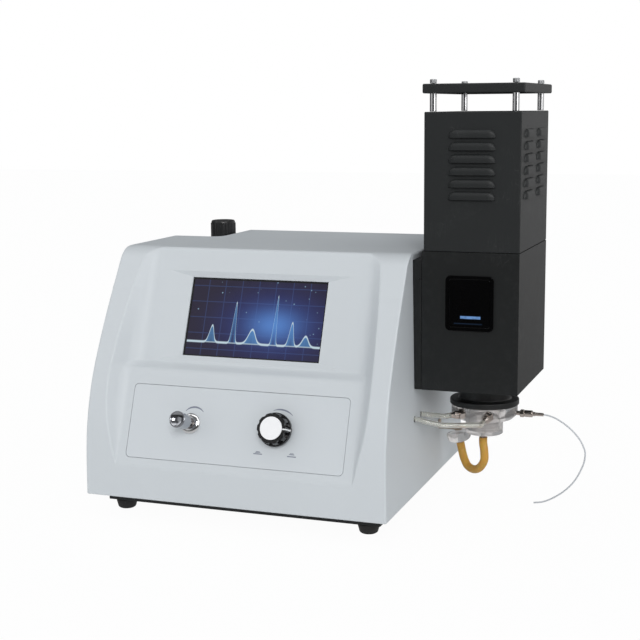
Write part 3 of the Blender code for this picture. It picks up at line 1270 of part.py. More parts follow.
def make_cover():
    """Louvred chimney cover: an open-bottomed box with an in-turned rim at its top."""
    low = HOUSING_TOP + GAP
    cover = block("chimney_cover", (COVER_LEFT, TOWER_FRONT, low), (TOWER_RIGHT, TOWER_BACK, COVER_TOP),
                  BLACK_STEEL)
    places = louvre_places()
    for number, place in enumerate(places):
        join(cover, louvre("louvre_out_%02d" % (number + 1), place))
    inner_top = COVER_TOP - TOWER_SHEET
    cut(cover, block("cover_inside", (COVER_LEFT + TOWER_SHEET, TOWER_FRONT + TOWER_SHEET, low - OVERRUN),
                     (TOWER_RIGHT - TOWER_SHEET, TOWER_BACK - TOWER_SHEET, inner_top), guide=True),
        block("cover_mouth", (COVER_LEFT + COVER_RIM, TOWER_FRONT + COVER_RIM, inner_top - OVERRUN),
              (TOWER_RIGHT - COVER_RIM, TOWER_BACK - COVER_RIM, COVER_TOP + OVERRUN), guide=True))
    for number, place in enumerate(places):
        cut(cover, louvre("louvre_in_%02d" % (number + 1), place, TOWER_SHEET * LOUVRE_SHEET_SHARE))


def post_places():
    left, right = COVER_LEFT + POST_INSET, TOWER_RIGHT - POST_INSET
    front, back = TOWER_FRONT + POST_INSET, TOWER_BACK - POST_INSET
    return (("front_left", left, front), ("front_right", right, front), ("back_left", left, back),
            ("back_right", right, back))


def make_top_plate():
    """Folded top plate on four posts, each with a screw from above."""
    left, right = COVER_LEFT - PLATE_OVERHANG_LEFT, TOWER_RIGHT + PLATE_OVERHANG
    front, back = TOWER_FRONT - PLATE_OVERHANG_FRONT, TOWER_BACK + PLATE_OVERHANG_FRONT
    plate = block("top_plate", (left, front, TOP_PLATE_BOTTOM), (right, back, TOP_PLATE_TOP), BLACK_STEEL,
                  edge=TOP_PLATE_EDGE)
    cut(plate, block("plate_inside",
                     (left + TOP_PLATE_SHEET, front + TOP_PLATE_SHEET, TOP_PLATE_BOTTOM - OVERRUN),
                     (right - TOP_PLATE_SHEET, back - TOP_PLATE_SHEET, TOP_PLATE_TOP - TOP_PLATE_SHEET),
                     guide=True))
    post_top = TOP_PLATE_TOP - TOP_PLATE_SHEET - GAP
    seat = TOP_PLATE_TOP + GAP
    hole = SCREW_SHANK_RADIUS + GAP
    for place, x, y in post_places():
        cut(plate, rod("plate_hole_" + place, hole, (x, y, post_top), (x, y, TOP_PLATE_TOP + OVERRUN),
                       sides=COARSE, guide=True))
        post = rod("post_" + place, POST_RADIUS, (x, y, COVER_TOP + GAP), (x, y, post_top), CHROME,
                   sides=COARSE)
        cut(post, rod("post_thread_" + place, hole, (x, y, seat - SCREW_SHANK_LENGTH - GAP),
                      (x, y, post_top + OVERRUN), sides=COARSE, guide=True))
        turned("screw_" + place, [(0, SCREW_HEAD_HEIGHT),
                                  (SCREW_HEAD_RADIUS - SCREW_HEAD_EDGE, SCREW_HEAD_HEIGHT),
                                  (SCREW_HEAD_RADIUS, SCREW_HEAD_HEIGHT - SCREW_HEAD_EDGE),
                                  (SCREW_HEAD_RADIUS, 0), (SCREW_SHANK_RADIUS, 0),
                                  (SCREW_SHANK_RADIUS, -SCREW_SHANK_LENGTH), (0, -SCREW_SHANK_LENGTH)],
               CHROME, location=(x, y, seat), sides=COARSE)


def make_detector():
    """Detector box inside the casing, with its lens snout through the casing's side and the flange."""
    right = side_x(OPTICS_Z) - SIDE_WALL - OVERRUN
    left = right - DETECTOR_LENGTH
    snout_end = HOUSING_LEFT + TOWER_SHEET
    box = block("detector_housing", (left, TOWER_Y - DETECTOR_WIDTH / 2, OPTICS_Z - DETECTOR_HEIGHT / 2),
                (right, TOWER_Y + DETECTOR_WIDTH / 2, OPTICS_Z + DETECTOR_HEIGHT / 2), BLACK_PLASTIC)
    join(box, rod("detector_snout", SNOUT_RADIUS, (right - DETECTOR_WALL, TOWER_Y, OPTICS_Z),
                  (snout_end, TOWER_Y, OPTICS_Z), guide=True))
    cut(box, rod("detector_bore", OPTICS_RADIUS, (left + DETECTOR_WALL, TOWER_Y, OPTICS_Z),
                 (snout_end + OVERRUN, TOWER_Y, OPTICS_Z), guide=True))


def make_burner():
    """Burner ring and neck under the housing, burner head, inner chimney and the igniter."""
    at = (BURNER_X, BURNER_Y, 0)
    bore = HEAD_RADIUS + GAP
    top = HOUSING_BOTTOM - GAP
    turned("burner_ring", [(bore, top), (NECK_RADIUS, top), (NECK_RADIUS, RING_TOP),
                           (RING_FACE_RADIUS, RING_TOP),
                           (RING_RADIUS, RING_TOP - RING_EDGE), (RING_RADIUS, RING_BOTTOM),
                           (bore, RING_BOTTOM)],
           BLACK_STEEL, location=at, sides=FINE)
    cap_low = HEAD_TOP - HEAD_CAP_HEIGHT
    turned("burner_head", [(HEAD_BORE, HEAD_TOP), (HEAD_CAP_RADIUS, HEAD_TOP), (HEAD_CAP_RADIUS, cap_low),
                           (HEAD_RADIUS, cap_low), (HEAD_RADIUS, RING_BOTTOM), (HEAD_BORE, RING_BOTTOM)],
           ZINC, location=at)
    make_flame_chimney(at)
    length = TOWER_BACK - BURNER_Y - HEAD_BORE
    shoulder = length - IGNITER_TIP
    turned("igniter", [(0, length), (IGNITER_TIP_RADIUS, length), (IGNITER_TIP_RADIUS, shoulder),
                       (IGNITER_RADIUS, shoulder), (IGNITER_RADIUS, -GAP), (IGNITER_COLLAR_RADIUS, -GAP),
                       (IGNITER_COLLAR_RADIUS, -IGNITER_COLLAR), (0, -IGNITER_COLLAR)],
           CERAMIC, location=(BURNER_X, TOWER_BACK, IGNITER_Z), direction=(0, -1, 0), sides=COARSE)


def make_flame_chimney(at):
    """Thin tube round the flame, with openings for optics, window and igniter."""
    low = HOUSING_BOTTOM + TOWER_SHEET + GAP
    inner = CHIMNEY_RADIUS - CHIMNEY_WALL
    chimney = turned("flame_chimney", [(inner, CHIMNEY_TOP), (CHIMNEY_RADIUS, CHIMNEY_TOP),
                                       (CHIMNEY_RADIUS, low),
                                       (inner, low)], ZINC, location=at, sides=FINE)
    cut(chimney,
        rod("chimney_optics", CHIMNEY_VIEW_RADIUS, (BURNER_X - CHIMNEY_RADIUS - OVERRUN, TOWER_Y, OPTICS_Z),
            (BURNER_X, TOWER_Y, OPTICS_Z), guide=True),
        slab("chimney_view", (BURNER_X, WINDOW_CENTRE), (2 * CHIMNEY_VIEW_RADIUS, 2 * CHIMNEY_RADIUS),
             BURNER_Y - CHIMNEY_RADIUS - OVERRUN, BURNER_Y),
        rod("chimney_igniter", IGNITER_RADIUS + GAP, (BURNER_X, BURNER_Y, IGNITER_Z),
            (BURNER_X, BURNER_Y + CHIMNEY_RADIUS + OVERRUN, IGNITER_Z), sides=COARSE, guide=True))


def fitting_places():
    """The two tube fittings on the chamber's flank: name, the middle of the seat, and the way it points."""
    places = []
    for name, turn, inset, along in (("gas", GAS_FITTING_TURN, GAS_FITTING_INSET, GAS_FITTING_AIM),
                                     ("air", AIR_FITTING_TURN, AIR_FITTING_INSET, AIR_FITTING_AIM)):
        reach = CHAMBER_RADIUS - inset
        seat = Vector((BURNER_X + reach * math.cos(turn), BURNER_Y + reach * math.sin(turn), FITTING_Z))
        places.append((name, seat, Vector(along).normalized()))
    return places


def make_chamber():
    """Clear mixing chamber under the ring, with ports for the two fittings and the nebuliser."""
    throat = HEAD_BORE
    chamber = turned("mixing_chamber", [(throat, CHAMBER_TOP), (CHAMBER_RADIUS, CHAMBER_TOP),
                                        (CHAMBER_RADIUS, CHAMBER_BOTTOM + CHAMBER_CHAMFER),
                                        (CHAMBER_RADIUS - CHAMBER_CHAMFER, CHAMBER_BOTTOM),
                                        (CHAMBER_CAVITY_RADIUS, CHAMBER_BOTTOM),
                                        (CHAMBER_CAVITY_RADIUS, CHAMBER_CAVITY_TOP),
                                        (throat, CHAMBER_CAVITY_TOP)],
                     ACRYLIC, location=(BURNER_X, BURNER_Y, 0), sides=FINE)
    for name, seat, out in fitting_places():
        end = seat + out * 2 * OVERRUN
        cut(chamber, rod(name + "_port", FITTING_THREAD + GAP, seat - out * (FITTING_SCREWED + GAP), end,
                         sides=COARSE, guide=True),
            rod(name + "_facing", FITTING_HEX + GAP, seat, end, sides=COARSE, guide=True))
    right = BURNER_X + CHAMBER_RADIUS
    cut(chamber, rod("nebuliser_port", NEBULISER_STEM_RADIUS + GAP,
                     (right - NEBULISER_SCREWED - GAP, BURNER_Y, NEBULISER_Z),
                     (right + OVERRUN, BURNER_Y, NEBULISER_Z), sides=COARSE, guide=True))


def make_chamber_base():
    """Clear base under the chamber, with its drain spigot."""
    top = CHAMBER_BOTTOM - GAP
    floor = BASE_BOTTOM + BASE_FLOOR
    spigot_low = BASE_BOTTOM - SPIGOT_LENGTH
    base = turned("chamber_base", [(BASE_CAVITY_RADIUS, top), (BASE_RADIUS, top), (BASE_RADIUS, BASE_BOTTOM),
                                   (0, BASE_BOTTOM), (0, floor), (BASE_CAVITY_RADIUS, floor)],
                  ACRYLIC, location=(BURNER_X, BURNER_Y, 0), sides=FINE)
    x = BURNER_X - SPIGOT_OFFSET
    join(base, rod("drain_spigot", SPIGOT_RADIUS, (x, BURNER_Y, spigot_low),
                   (x, BURNER_Y, BASE_BOTTOM + BASE_FLOOR / 2), sides=COARSE, guide=True))
    cut(base, rod("drain_bore", SPIGOT_BORE, (x, BURNER_Y, spigot_low - OVERRUN),
                  (x, BURNER_Y, floor + OVERRUN),
                  sides=OCTAGON, guide=True))


def tube_route(tip, out, tip_share, tip_shares, hole, hole_shares):
    """A tube's route: straight off its fitting, past points off the tip and the hole, into the casing."""
    width = 2 * TUBE_RADIUS
    points = [tip + out * TUBE_RADIUS, tip + out * width * tip_share]
    points += [tip + width * Vector(shares) for shares in tip_shares]
    points += [hole + width * Vector(shares) for shares in hole_shares]
    points.append(hole - Vector((TUBE_INSIDE, 0, 0)))
    return [tip] + smooth_route(points, TUBE_STEPS)


def make_fittings():
    """The two tube fittings on the chamber's front, and the clear tubes from them into the casing."""
    side = side_x(TUBE_EXIT_Z)
    nut_top = GAP + FITTING_HEX_LENGTH
    barb_foot, cone_foot = (FITTING_LENGTH * share for share in FITTING_CONE_SHARES)
    tips = {}
    for name, seat, out in fitting_places():
        body = turned(name + "_fitting", [(0, FITTING_LENGTH), (FITTING_BARB, FITTING_LENGTH),
                                          (FITTING_BARB, barb_foot), (FITTING_BODY, cone_foot),
                                          (FITTING_BODY, nut_top / 2), (FITTING_THREAD, nut_top / 2),
                                          (FITTING_THREAD, -FITTING_SCREWED), (0, -FITTING_SCREWED)],
                      NICKEL, location=seat, direction=out, sides=COARSE)
        join(body, rod(name + "_hex", FITTING_HEX, seat + out * GAP, seat + out * nut_top, sides=HEXAGON,
                       guide=True))
        tips[name] = (seat + out * (FITTING_LENGTH + GAP), out)
    gas_hole = Vector((side, GAS_TUBE_Y, TUBE_EXIT_Z))
    air_hole = Vector((side, AIR_TUBE_Y, TUBE_EXIT_Z))
    tube("gas_tube", tube_route(*tips["gas"], GAS_TIP_SHARE, (), gas_hole, GAS_HOLE_SHARES), TUBE_RADIUS,
         CLEAR_TUBE)
    tube("air_tube", tube_route(*tips["air"], AIR_TIP_SHARE, AIR_TIP_SHARES, air_hole, AIR_HOLE_SHARES),
         TUBE_RADIUS, CLEAR_TUBE)


def make_nebuliser():
    """Nebuliser in the chamber's side: stem with its hex, and the nut with its ferrule that turns on it."""
    x = BURNER_X + CHAMBER_RADIUS
    hex_low = NEBULISER_STEM
    hex_high = hex_low + NEBULISER_HEX_LENGTH
    middle = (hex_low + hex_high) / 2
    body_end = hex_high + NEBULISER_THREAD
    bore = CAPILLARY_RADIUS + GAP
    at = (x, BURNER_Y, NEBULISER_Z)

    def along(reach):
        return (x + reach, BURNER_Y, NEBULISER_Z)
    body = turned("nebuliser_body", [(0, body_end), (NEBULISER_BODY_RADIUS, body_end),
                                     (NEBULISER_BODY_RADIUS, middle), (NEBULISER_STEM_RADIUS, middle),
                                     (NEBULISER_STEM_RADIUS, -NEBULISER_SCREWED), (0, -NEBULISER_SCREWED)],
                  NICKEL, location=at, direction=(1, 0, 0), sides=COARSE)
    join(body, rod("nebuliser_hex", NEBULISER_HEX, along(hex_low), along(hex_high), sides=HEXAGON,
                   guide=True))
    cut(body, rod("nebuliser_passage", bore, along(-NEBULISER_SCREWED - OVERRUN), along(body_end + OVERRUN),
                  sides=OCTAGON, guide=True))
    low = hex_high + GAP
    high = low + NUT_LENGTH
    end = high + FERRULE_LENGTH
    turned("nebuliser_nut", [(bore, end), (FERRULE_TIP_RADIUS, end), (FERRULE_RADIUS, high),
                             (NUT_RADIUS, high),
                             (NUT_RADIUS, low), (NUT_BORE, low), (NUT_BORE, body_end + GAP),
                             (bore, body_end + GAP)],
           NICKEL, location=at, direction=(1, 0, 0), sides=COARSE)
    return Vector(along(end))


def make_capillary(exit_point):
    """The sample capillary: out of the ferrule, round in one springy arc, with its end on the bench."""
    x, y, z = exit_point
    # Points chosen by hand along the real tube, from the ferrule's mouth to the bare end
    points = [(x + GAP, y, z), (x + 0.0060, y + 0.0001, z - 0.0008), (x + 0.0155, y + 0.0005, z - 0.0044),
              (x + 0.0280, y + 0.0012, z - 0.0130), (x + 0.0378, y + 0.0022, z - 0.0236),
              (x + 0.0434, y + 0.0032, z - 0.0345), (x + 0.0446, y + 0.0038, z - 0.0422),
              (x + 0.0424, y + 0.0046, z - 0.0538), (x + 0.0343, y + 0.0056, z - 0.0708),
              (x + 0.0236, y + 0.0062, z - 0.0834), (x + 0.0110, y + 0.0066, z - 0.0930),
              (x + 0.0000, y + 0.0068, z - 0.0985), (x - 0.0102, y + 0.0068, z - 0.1005)]
    tube("capillary", smooth_route(points, CAPILLARY_STEPS), CAPILLARY_RADIUS, WHITE_TUBE)


def loop_point(start, end, across_share, rise_share):
    """A point of the drain loop: along the line between its two ends, and up from its lowest point."""
    place = start.lerp(end, across_share)
    place.z = DRAIN_LOW + rise_share * (start.z - DRAIN_LOW)
    return place


def trap_axis():
    """The drain trap's axis, down through its nozzle."""
    return Vector((math.sin(TRAP_LEAN), 0, -math.cos(TRAP_LEAN)))


def make_trap():
    """Fluted drain trap with a stem above and a nozzle below."""
    top = Vector((TRAP_X, TRAP_Y, TRAP_TOP))
    end = -TRAP_HEIGHT - TRAP_NOZZLE
    outline = [(wide * TRAP_RADIUS, -deep * TRAP_HEIGHT) for wide, deep in TRAP_SHARES]
    trap = turned("drain_trap", [(0, TRAP_STEM), (TRAP_STEM_RADIUS, TRAP_STEM),
                                 (TRAP_STEM_RADIUS, 0)] + outline
                  + [(TRAP_NOZZLE_RADIUS, -TRAP_HEIGHT), (TRAP_NOZZLE_RADIUS, end), (0, end)],
                  ACRYLIC, location=top, direction=-trap_axis(), sides=2 * TRAP_FLUTES)
    lean = empty("trap_frame", CASING_FRAME, top, (0, -TRAP_LEAN, 0))
    reach = TRAP_RADIUS + TRAP_FLUTE_STANDOFF
    for flute in range(TRAP_FLUTES):
        angle = (flute + 0.5) / TRAP_FLUTES * 2 * math.pi
        x, y = reach * math.cos(angle), reach * math.sin(angle)
        cut(trap, rod("trap_flute_%02d" % (flute + 1), TRAP_FLUTE_RADIUS, (x, y, -TRAP_HEIGHT - OVERRUN),
                      (x, y, OVERRUN / 2), parent=lean, sides=HEXAGON, guide=True))


def make_drain_tube():
    """Amber tube in a loop from the chamber's spigot to the trap's nozzle."""
    axis = trap_axis()
    foot = Vector((TRAP_X, TRAP_Y, TRAP_TOP)) + axis * TRAP_HEIGHT
    nozzle = foot + axis * TRAP_NOZZLE
    spigot_low = BASE_BOTTOM - SPIGOT_LENGTH
    start = Vector((BURNER_X - SPIGOT_OFFSET, BURNER_Y, spigot_low + DRAIN_SLIP))
    points = [start, start - Vector((0, 0, DRAIN_SLIP + GAP))]
    points += [loop_point(start, nozzle, across, rise) for across, rise in DRAIN_LOOP_SHARES]
    points += [nozzle + axis * DRAIN_RADIUS, nozzle + axis * GAP, nozzle - axis * NOZZLE_SLIP]
    loop = as_mesh(tube("drain_tube", smooth_route(points, DRAIN_STEPS), DRAIN_RADIUS, AMBER))
    cut(loop, rod("spigot_space", DRAIN_BORE, (start.x, start.y, spigot_low - GAP),
                  (start.x, start.y, BASE_BOTTOM),
                  sides=COARSE, guide=True),
        rod("nozzle_space", DRAIN_BORE, nozzle + axis * GAP, foot - axis * GAP, sides=COARSE, guide=True))


def make_trap_bracket():
    """Bracket from the casing's side to the trap's stem, with an eye around the stem."""
    top = Vector((TRAP_X, TRAP_Y, TRAP_TOP))
    axis = trap_axis()
    eye = top - axis * TRAP_STEM / 2
    side = side_x(eye.z) + GAP
    half = BRACKET_WIDTH / 2
    low = eye.z - BRACKET_SHEET / 2
    high = low + BRACKET_SHEET
    arm = block("trap_bracket", (side, TRAP_Y - half, low), (eye.x, TRAP_Y + half, high), NICKEL)
    ear = block("bracket_ear", (side, TRAP_Y - half, low),
                (side + BRACKET_SHEET, TRAP_Y + half, low + BRACKET_EAR),
                guide=True)
    for vertex in ear.data.vertices:
        if vertex.co.z > 0:
            vertex.co.x -= SIDE_DRAFT_SHARE * BRACKET_EAR
    join(arm, ear, rod("bracket_ring", half + BRACKET_SHEET, (eye.x, TRAP_Y, low), (eye.x, TRAP_Y, high),
                       sides=COARSE, guide=True))
    cut(arm, rod("bracket_eye", TRAP_STEM_RADIUS + GAP, top, top - axis * (TRAP_STEM + OVERRUN), sides=COARSE,
                 guide=True))


def evaluated_bounds():
    """Lowest and highest corner of all pieces but the capillary, as the modifiers leave them."""
    bpy.context.view_layer.update()
    graph = bpy.context.evaluated_depsgraph_get()
    low, high = Vector([math.inf] * 3), Vector([-math.inf] * 3)
    for piece in COLLECTION.objects:
        if piece.type == 'EMPTY' or piece.name == "capillary":
            continue
        shape = piece.evaluated_get(graph)
        for vertex in shape.to_mesh().vertices:
            place = shape.matrix_world @ vertex.co
            low = Vector(map(min, low, place))
            high = Vector(map(max, high, place))
        shape.to_mesh_clear()
    return low, high


make_casing_cover()
make_control_plate()
make_screen()
make_fine_valve()
make_gas_valve()
make_base_pan()
make_feet()
make_electronics()
make_rear_panel()
make_power_inlet()
make_power_switch()
make_gas_inlet()
make_fan()
make_regulator()
make_flange()
make_housing()
make_window()
make_cover()
make_top_plate()
make_detector()
make_burner()
make_chamber()
make_chamber_base()
make_fittings()
make_capillary(make_nebuliser())
make_trap()
make_drain_tube()
make_trap_bracket()

lowest_corner, highest_corner = evaluated_bounds()
CASING_FRAME.location = (-(lowest_corner.x + highest_corner.x) / 2,
                         -(lowest_corner.y + highest_corner.y) / 2, 0)
bpy.context.view_layer.update()
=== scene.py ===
"""Looks of the flame photometer: its finishes, the fine moulded casing and the detailed pieces around it.

Metres, +Z up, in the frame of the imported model. A casing point has X zero at the casing's middle, growing towards
the burner tower, Y zero at the casing's foot, growing backwards, and Z zero at the feet. Turned pieces are given
as (radius, height) points along their axis.
"""

import json
import math

import bmesh
import bpy
from mathutils import Matrix, Vector


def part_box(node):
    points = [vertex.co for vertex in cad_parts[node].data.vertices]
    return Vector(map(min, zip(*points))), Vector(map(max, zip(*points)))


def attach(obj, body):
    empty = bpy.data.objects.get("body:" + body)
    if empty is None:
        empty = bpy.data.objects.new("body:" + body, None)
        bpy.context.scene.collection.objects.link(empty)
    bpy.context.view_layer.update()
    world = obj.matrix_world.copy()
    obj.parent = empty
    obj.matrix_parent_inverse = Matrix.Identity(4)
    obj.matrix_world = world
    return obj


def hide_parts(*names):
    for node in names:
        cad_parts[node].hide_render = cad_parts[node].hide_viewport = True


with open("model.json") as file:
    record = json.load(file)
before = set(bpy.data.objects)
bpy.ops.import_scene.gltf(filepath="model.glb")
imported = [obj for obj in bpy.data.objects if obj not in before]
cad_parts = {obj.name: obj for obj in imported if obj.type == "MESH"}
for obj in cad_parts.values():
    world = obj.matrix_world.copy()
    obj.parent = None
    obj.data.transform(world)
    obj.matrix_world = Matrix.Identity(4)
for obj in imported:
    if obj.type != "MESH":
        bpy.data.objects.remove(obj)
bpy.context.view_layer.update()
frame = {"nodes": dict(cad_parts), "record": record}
NODES = frame["nodes"]
BODY_OF = {node: body for body, nodes in frame["record"]["behaviour"]["bodies"].items() for node in nodes}
bpy.ops.object.select_all(action='DESELECT')

GAP = 0.0003
OVERRUN = 0.004
MERGE = 0.000002
# Sharper edges than this stay crisp, in degrees: in general, then on the casing, the louvred cover and the hoses
SMOOTH_ANGLE, CASING_SMOOTH, COVER_SMOOTH, HOSE_SMOOTH = 32, 24, 38, 50
BEVEL_ANGLE = math.radians(30)
QUARTER = math.pi / 2

# Camera at the photograph's place: yaw, pitch and roll in degrees
CAMERA_PLACE = (0.52891, -1.18079, 0.42774)
CAMERA_TURN = (19.964, 9.2535, -0.4895)
CAMERA_LENS, SENSOR_WIDTH, VIEW_END = 73.26, 36, 30

# Casing, as the CAD model has it; the tables give shares of its height against shares of its depth or half width
CASING_LOW, CASING_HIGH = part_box("casing_cover")
ORIGIN = Vector(((CASING_LOW.x + CASING_HIGH.x) / 2, CASING_LOW.y, 0))
CASING_WIDTH, CASING_DEPTH = 0.335, 0.308
CASING_BOTTOM, CASING_TOP = 0.022, 0.279
CASING_HEIGHT, HALF_WIDTH = CASING_TOP - CASING_BOTTOM, CASING_WIDTH / 2
SIDE_DRAFT_SHARE = 0.015
SIDE_WALL, FRONT_WALL = 0.003, 0.005
CHEEK_ROUNDING = 0.030
PANEL_FOOT, PANEL_TOP, PANEL_LEAN = 0.0575, 0.149, math.radians(20.6)
SHOULDER_TOP, SHOULDER_DEPTH = 0.159, 0.0151
UPPER_LEAN = math.radians(22.2)
NICHE_SIDE, NICHE_FRONT, NICHE_FLOOR, NICHE_CORNER = -0.102, 0.217, 0.125, 0.014
CHEEK_SHARES = ((0.0, 0.0), (0.138, 0.0), (0.206, 0.0016), (0.284, 0.0081), (0.362, 0.0211), (0.440, 0.0396),
                (0.494, 0.0562), (0.560, 0.0818), (0.654, 0.1234), (0.751, 0.1698), (0.848, 0.2208))
MOUTH_SHARES = ((0.0, 0.788), (0.138, 0.788), (0.218, 0.815), (0.253, 0.828), (0.321, 0.851), (0.401, 0.866),
                (0.494, 0.872), (0.611, 0.866), (0.722, 0.853), (0.812, 0.840), (0.904, 0.823), (0.968, 0.804),
                (0.986, 0.770), (1.0, 0.731))
FOOT_SHARES = ((0.0, 0.785), (0.138, 0.785), (0.401, 0.797), (0.494, 0.799), (0.514, 0.791), (0.527, 0.779),
               (0.533, 0.764), (0.654, 0.761), (0.809, 0.752), (0.934, 0.737), (1.0, 0.722))
SHOULDER_SHARES = ((0.0, 0.0), (0.5, 0.20), (0.85, 0.52), (1.0, 1.0))

# Screen, control plate and the valves on it
SCREEN_WIDTH, SCREEN_HEIGHT, SCREEN_RISE, SCREEN_RIM = 0.1554, 0.0866, 0.0542, 0.0017
RECESS_SIDE, RECESS_TOP, RECESS_DEPTH = 0.0258, 0.0058, 0.0029
PLATE_WIDTH, PLATE_HEIGHT, PLATE_THICKNESS, PLATE_CORNER = 0.242, 0.0782, 0.002, 0.0045
PLATE_RISE, PLATE_GROOVE = 0.0484, 0.0004
VALVE_RISE = PLATE_RISE + 0.001
FINE_VALVE_X, FINE_HOLE_RADIUS = -0.051, 0.0058
GAS_VALVE_X, GAS_HOLE_RADIUS = 0.0465, 0.0068
FINE_NUT_RADIUS, FINE_NUT_THICKNESS = 0.0110, 0.0035
SPINDLE_RADIUS, SPINDLE_FOOT = 0.0030, -0.0313
KNOB_LOW, KNOB_TOP, KNOB_WELL, KNOB_CEILING = 0.0045, 0.0180, 0.0033, 0.0133
KNOB_FLUTES, KNOB_FLUTE_RADIUS, KNOB_FLUTE_REACH, KNOB_GRIP_RADIUS = 10, 0.0034, 0.0179, 0.0168
KNOB_DISC_RADIUS = 0.0118
POINTER_WIDTH, POINTER_DEPTH, POINTER_DROP = 0.0007, 0.0012, 0.0004
MARK_FOOT, MARK_TOP = -0.00005, 0.0001
MARK_TAPER = 0.25
# Printed arcs: middle as seen from the valve, radius, width, start and end in degrees
FINE_ARC, GAS_ARC = ((0.0030, 0.0042), 0.0133, 0.0018, 140, 42), ((0.0010, 0.0010), 0.0206, 0.0016, 112, 48)
# Push signs under the gas knob: how far aside each is and how far its foot stands over its line
PUSH_SIGNS, PUSH_RISE = ((-0.0185, 0.0009), (0.0185, 0.0016)), -0.0253

# Fillets that only the looks have
CORNER_REACH, MOUTH_REACH, FOOT_REACH, BACK_REACH = 0.0022, 0.0018, 0.0140, 0.0012
EDGE_ROUNDING, BROW_ROUNDING, LIP_ROUNDING = 0.0030, 0.0050, 0.0007
ROW_PITCH, LEAST_ROW = 0.0026, 0.00003
SOFTENING = 0.0024
# A fillet takes at most this share of the edges beside it
EDGE_SHARE = 0.45

# Regulator, feet and rear side
REGULATOR_PLACE, REGULATOR_KNOB_LOW = (-0.127, 0.280), 0.266
REGULATOR_RIBS, REGULATOR_RIB, REGULATOR_RIBBED = 20, 0.0007, 0.0146
BOWL_TOP, BOWL_DEPTH = 0.2174, 0.058
FOOT_ACROSS, FOOT_DEPTHS, FOOT_TOP = 0.1382, (0.0353, 0.273), 0.0102
REAR_FACE = 0.306
REAR_SCREWS = ((-0.150, 0.032), (-0.060, 0.032), (0.060, 0.032), (0.150, 0.032), (0.148, 0.150), (0.146, 0.268),
               (0.060, 0.269), (-0.092, 0.269), (-0.092, 0.130), (-0.150, 0.112))
FAN_PLACE, GUARD_RINGS = (0.030, 0.190), (0.010, 0.018, 0.0265)
GUARD_LIFT, GUARD_RING_WIRE, GUARD_CROSS_WIRE, GUARD_REACH = 0.0011, 0.0008, 0.0007, 0.0330
ROCKER_TILT, ROCKER_SLOPE = math.radians(10), math.radians(7)
ROCKER_FACE, ROCKER_HALF = 0.00425, 0.0061

# Burner tower
HOUSING_LEFT = 0.1736
TOWER_RIGHT, TOWER_FRONT, TOWER_BACK = 0.2748, 0.1048, 0.2529
TOWER_X, TOWER_Y, TOWER_SHEET = 0.2242, 0.17885, 0.0018
COVER_LEFT, COVER_BOTTOM, COVER_TOP, COVER_RIM = 0.1754, 0.2819, 0.4228, 0.017
WINDOW_CENTRE = 0.2295
# Painted reflections in the window: a glowing blue bar low in it and a fainter painted glint under it; middle, half
# size and soft edge
WINDOW_PAINTED_REFLECTION = ((0.0012, -0.0143), (0.0107, 0.0016), 0.0004)
WINDOW_PAINTED_GLINT = ((-0.0012, -0.0208), (0.0150, 0.0009), 0.0006)
POST_INSET, POST_LOW, POST_HIGH = 0.0075, 0.4231, 0.4484
SCREW_SEAT = 0.4510
LOUVRE_WIDTH, LOUVRE_HEIGHT, LOUVRE_PITCH, LOUVRE_ROWS = 0.0487, 0.0085, 0.0124, 6
LOUVRE_PROUD, LOUVRE_END, LOUVRE_LEAST = 0.0035, 0.0080, 0.06
LOUVRE_TOP, LOUVRE_COLUMN_SPACING, LOUVRE_SHEET, LOUVRE_SUNK = 0.4055, 0.0655, 0.0011, 0.0002
# Powers of a louvre's curves: towards its ends, and up its face
LOUVRE_END_POWERS, LOUVRE_FACE_POWERS = (2.2, 0.62), (5.0, 0.75)
OPTICS_Z, OPTICS_HOLE_RADIUS = 0.215, 0.0148

# Burner, mixing chamber, fittings and drain
BURNER_X, BURNER_Y = 0.2246, 0.178
RING_RADIUS, RING_BOTTOM = 0.0372, 0.1105
CHAMBER_RADIUS, CHAMBER_BOTTOM, CHAMBER_TOP = 0.0357, 0.095, 0.1102
BASE_BOTTOM = 0.0776
FITTING_Z, FITTING_LENGTH = 0.1032, 0.0155
# Each fitting: the angle of its seat around the chamber, how far the seat is cut in, and its way out
FITTINGS = (("gas", math.radians(240.36), 0.0023, (-0.72, -0.69, 0.0)),
            ("air", math.radians(-69.2), 0.0019, (-0.17, -0.96, -0.22)))
TUBE_RADIUS, TUBE_BORE, TUBE_INSIDE, TUBE_STEPS = 0.0029, 0.0019, 0.010, 12
TUBE_HOLE_RADIUS, TUBE_EXIT_Z, GAS_TUBE_Y, AIR_TUBE_Y = 0.0036, 0.104, 0.131, 0.106
NEBULISER_Z = 0.1015
DRAIN_RADIUS, DRAIN_BORE, DRAIN_LOW, DRAIN_STEPS = 0.0045, 0.0033, 0.0316, 10
DRAIN_LOOP_SHARES = ((-0.05, 0.62), (-0.05, 0.36), (0.14, 0.115), (0.40, 0.0), (0.68, 0.03), (0.85, 0.20))
SPIGOT_X, SPIGOT_LOW = 0.2236, 0.0656
TRAP_PLACE, TRAP_LEAN = (0.189, 0.205, 0.069), math.radians(12)
TRAP_RADIUS, TRAP_HEIGHT, TRAP_NOZZLE = 0.0135, 0.0105, 0.006
TRAP_FLUTES, TRAP_FLUTE_RADIUS, TRAP_FLUTE_REACH = 14, 0.0012, 0.0140

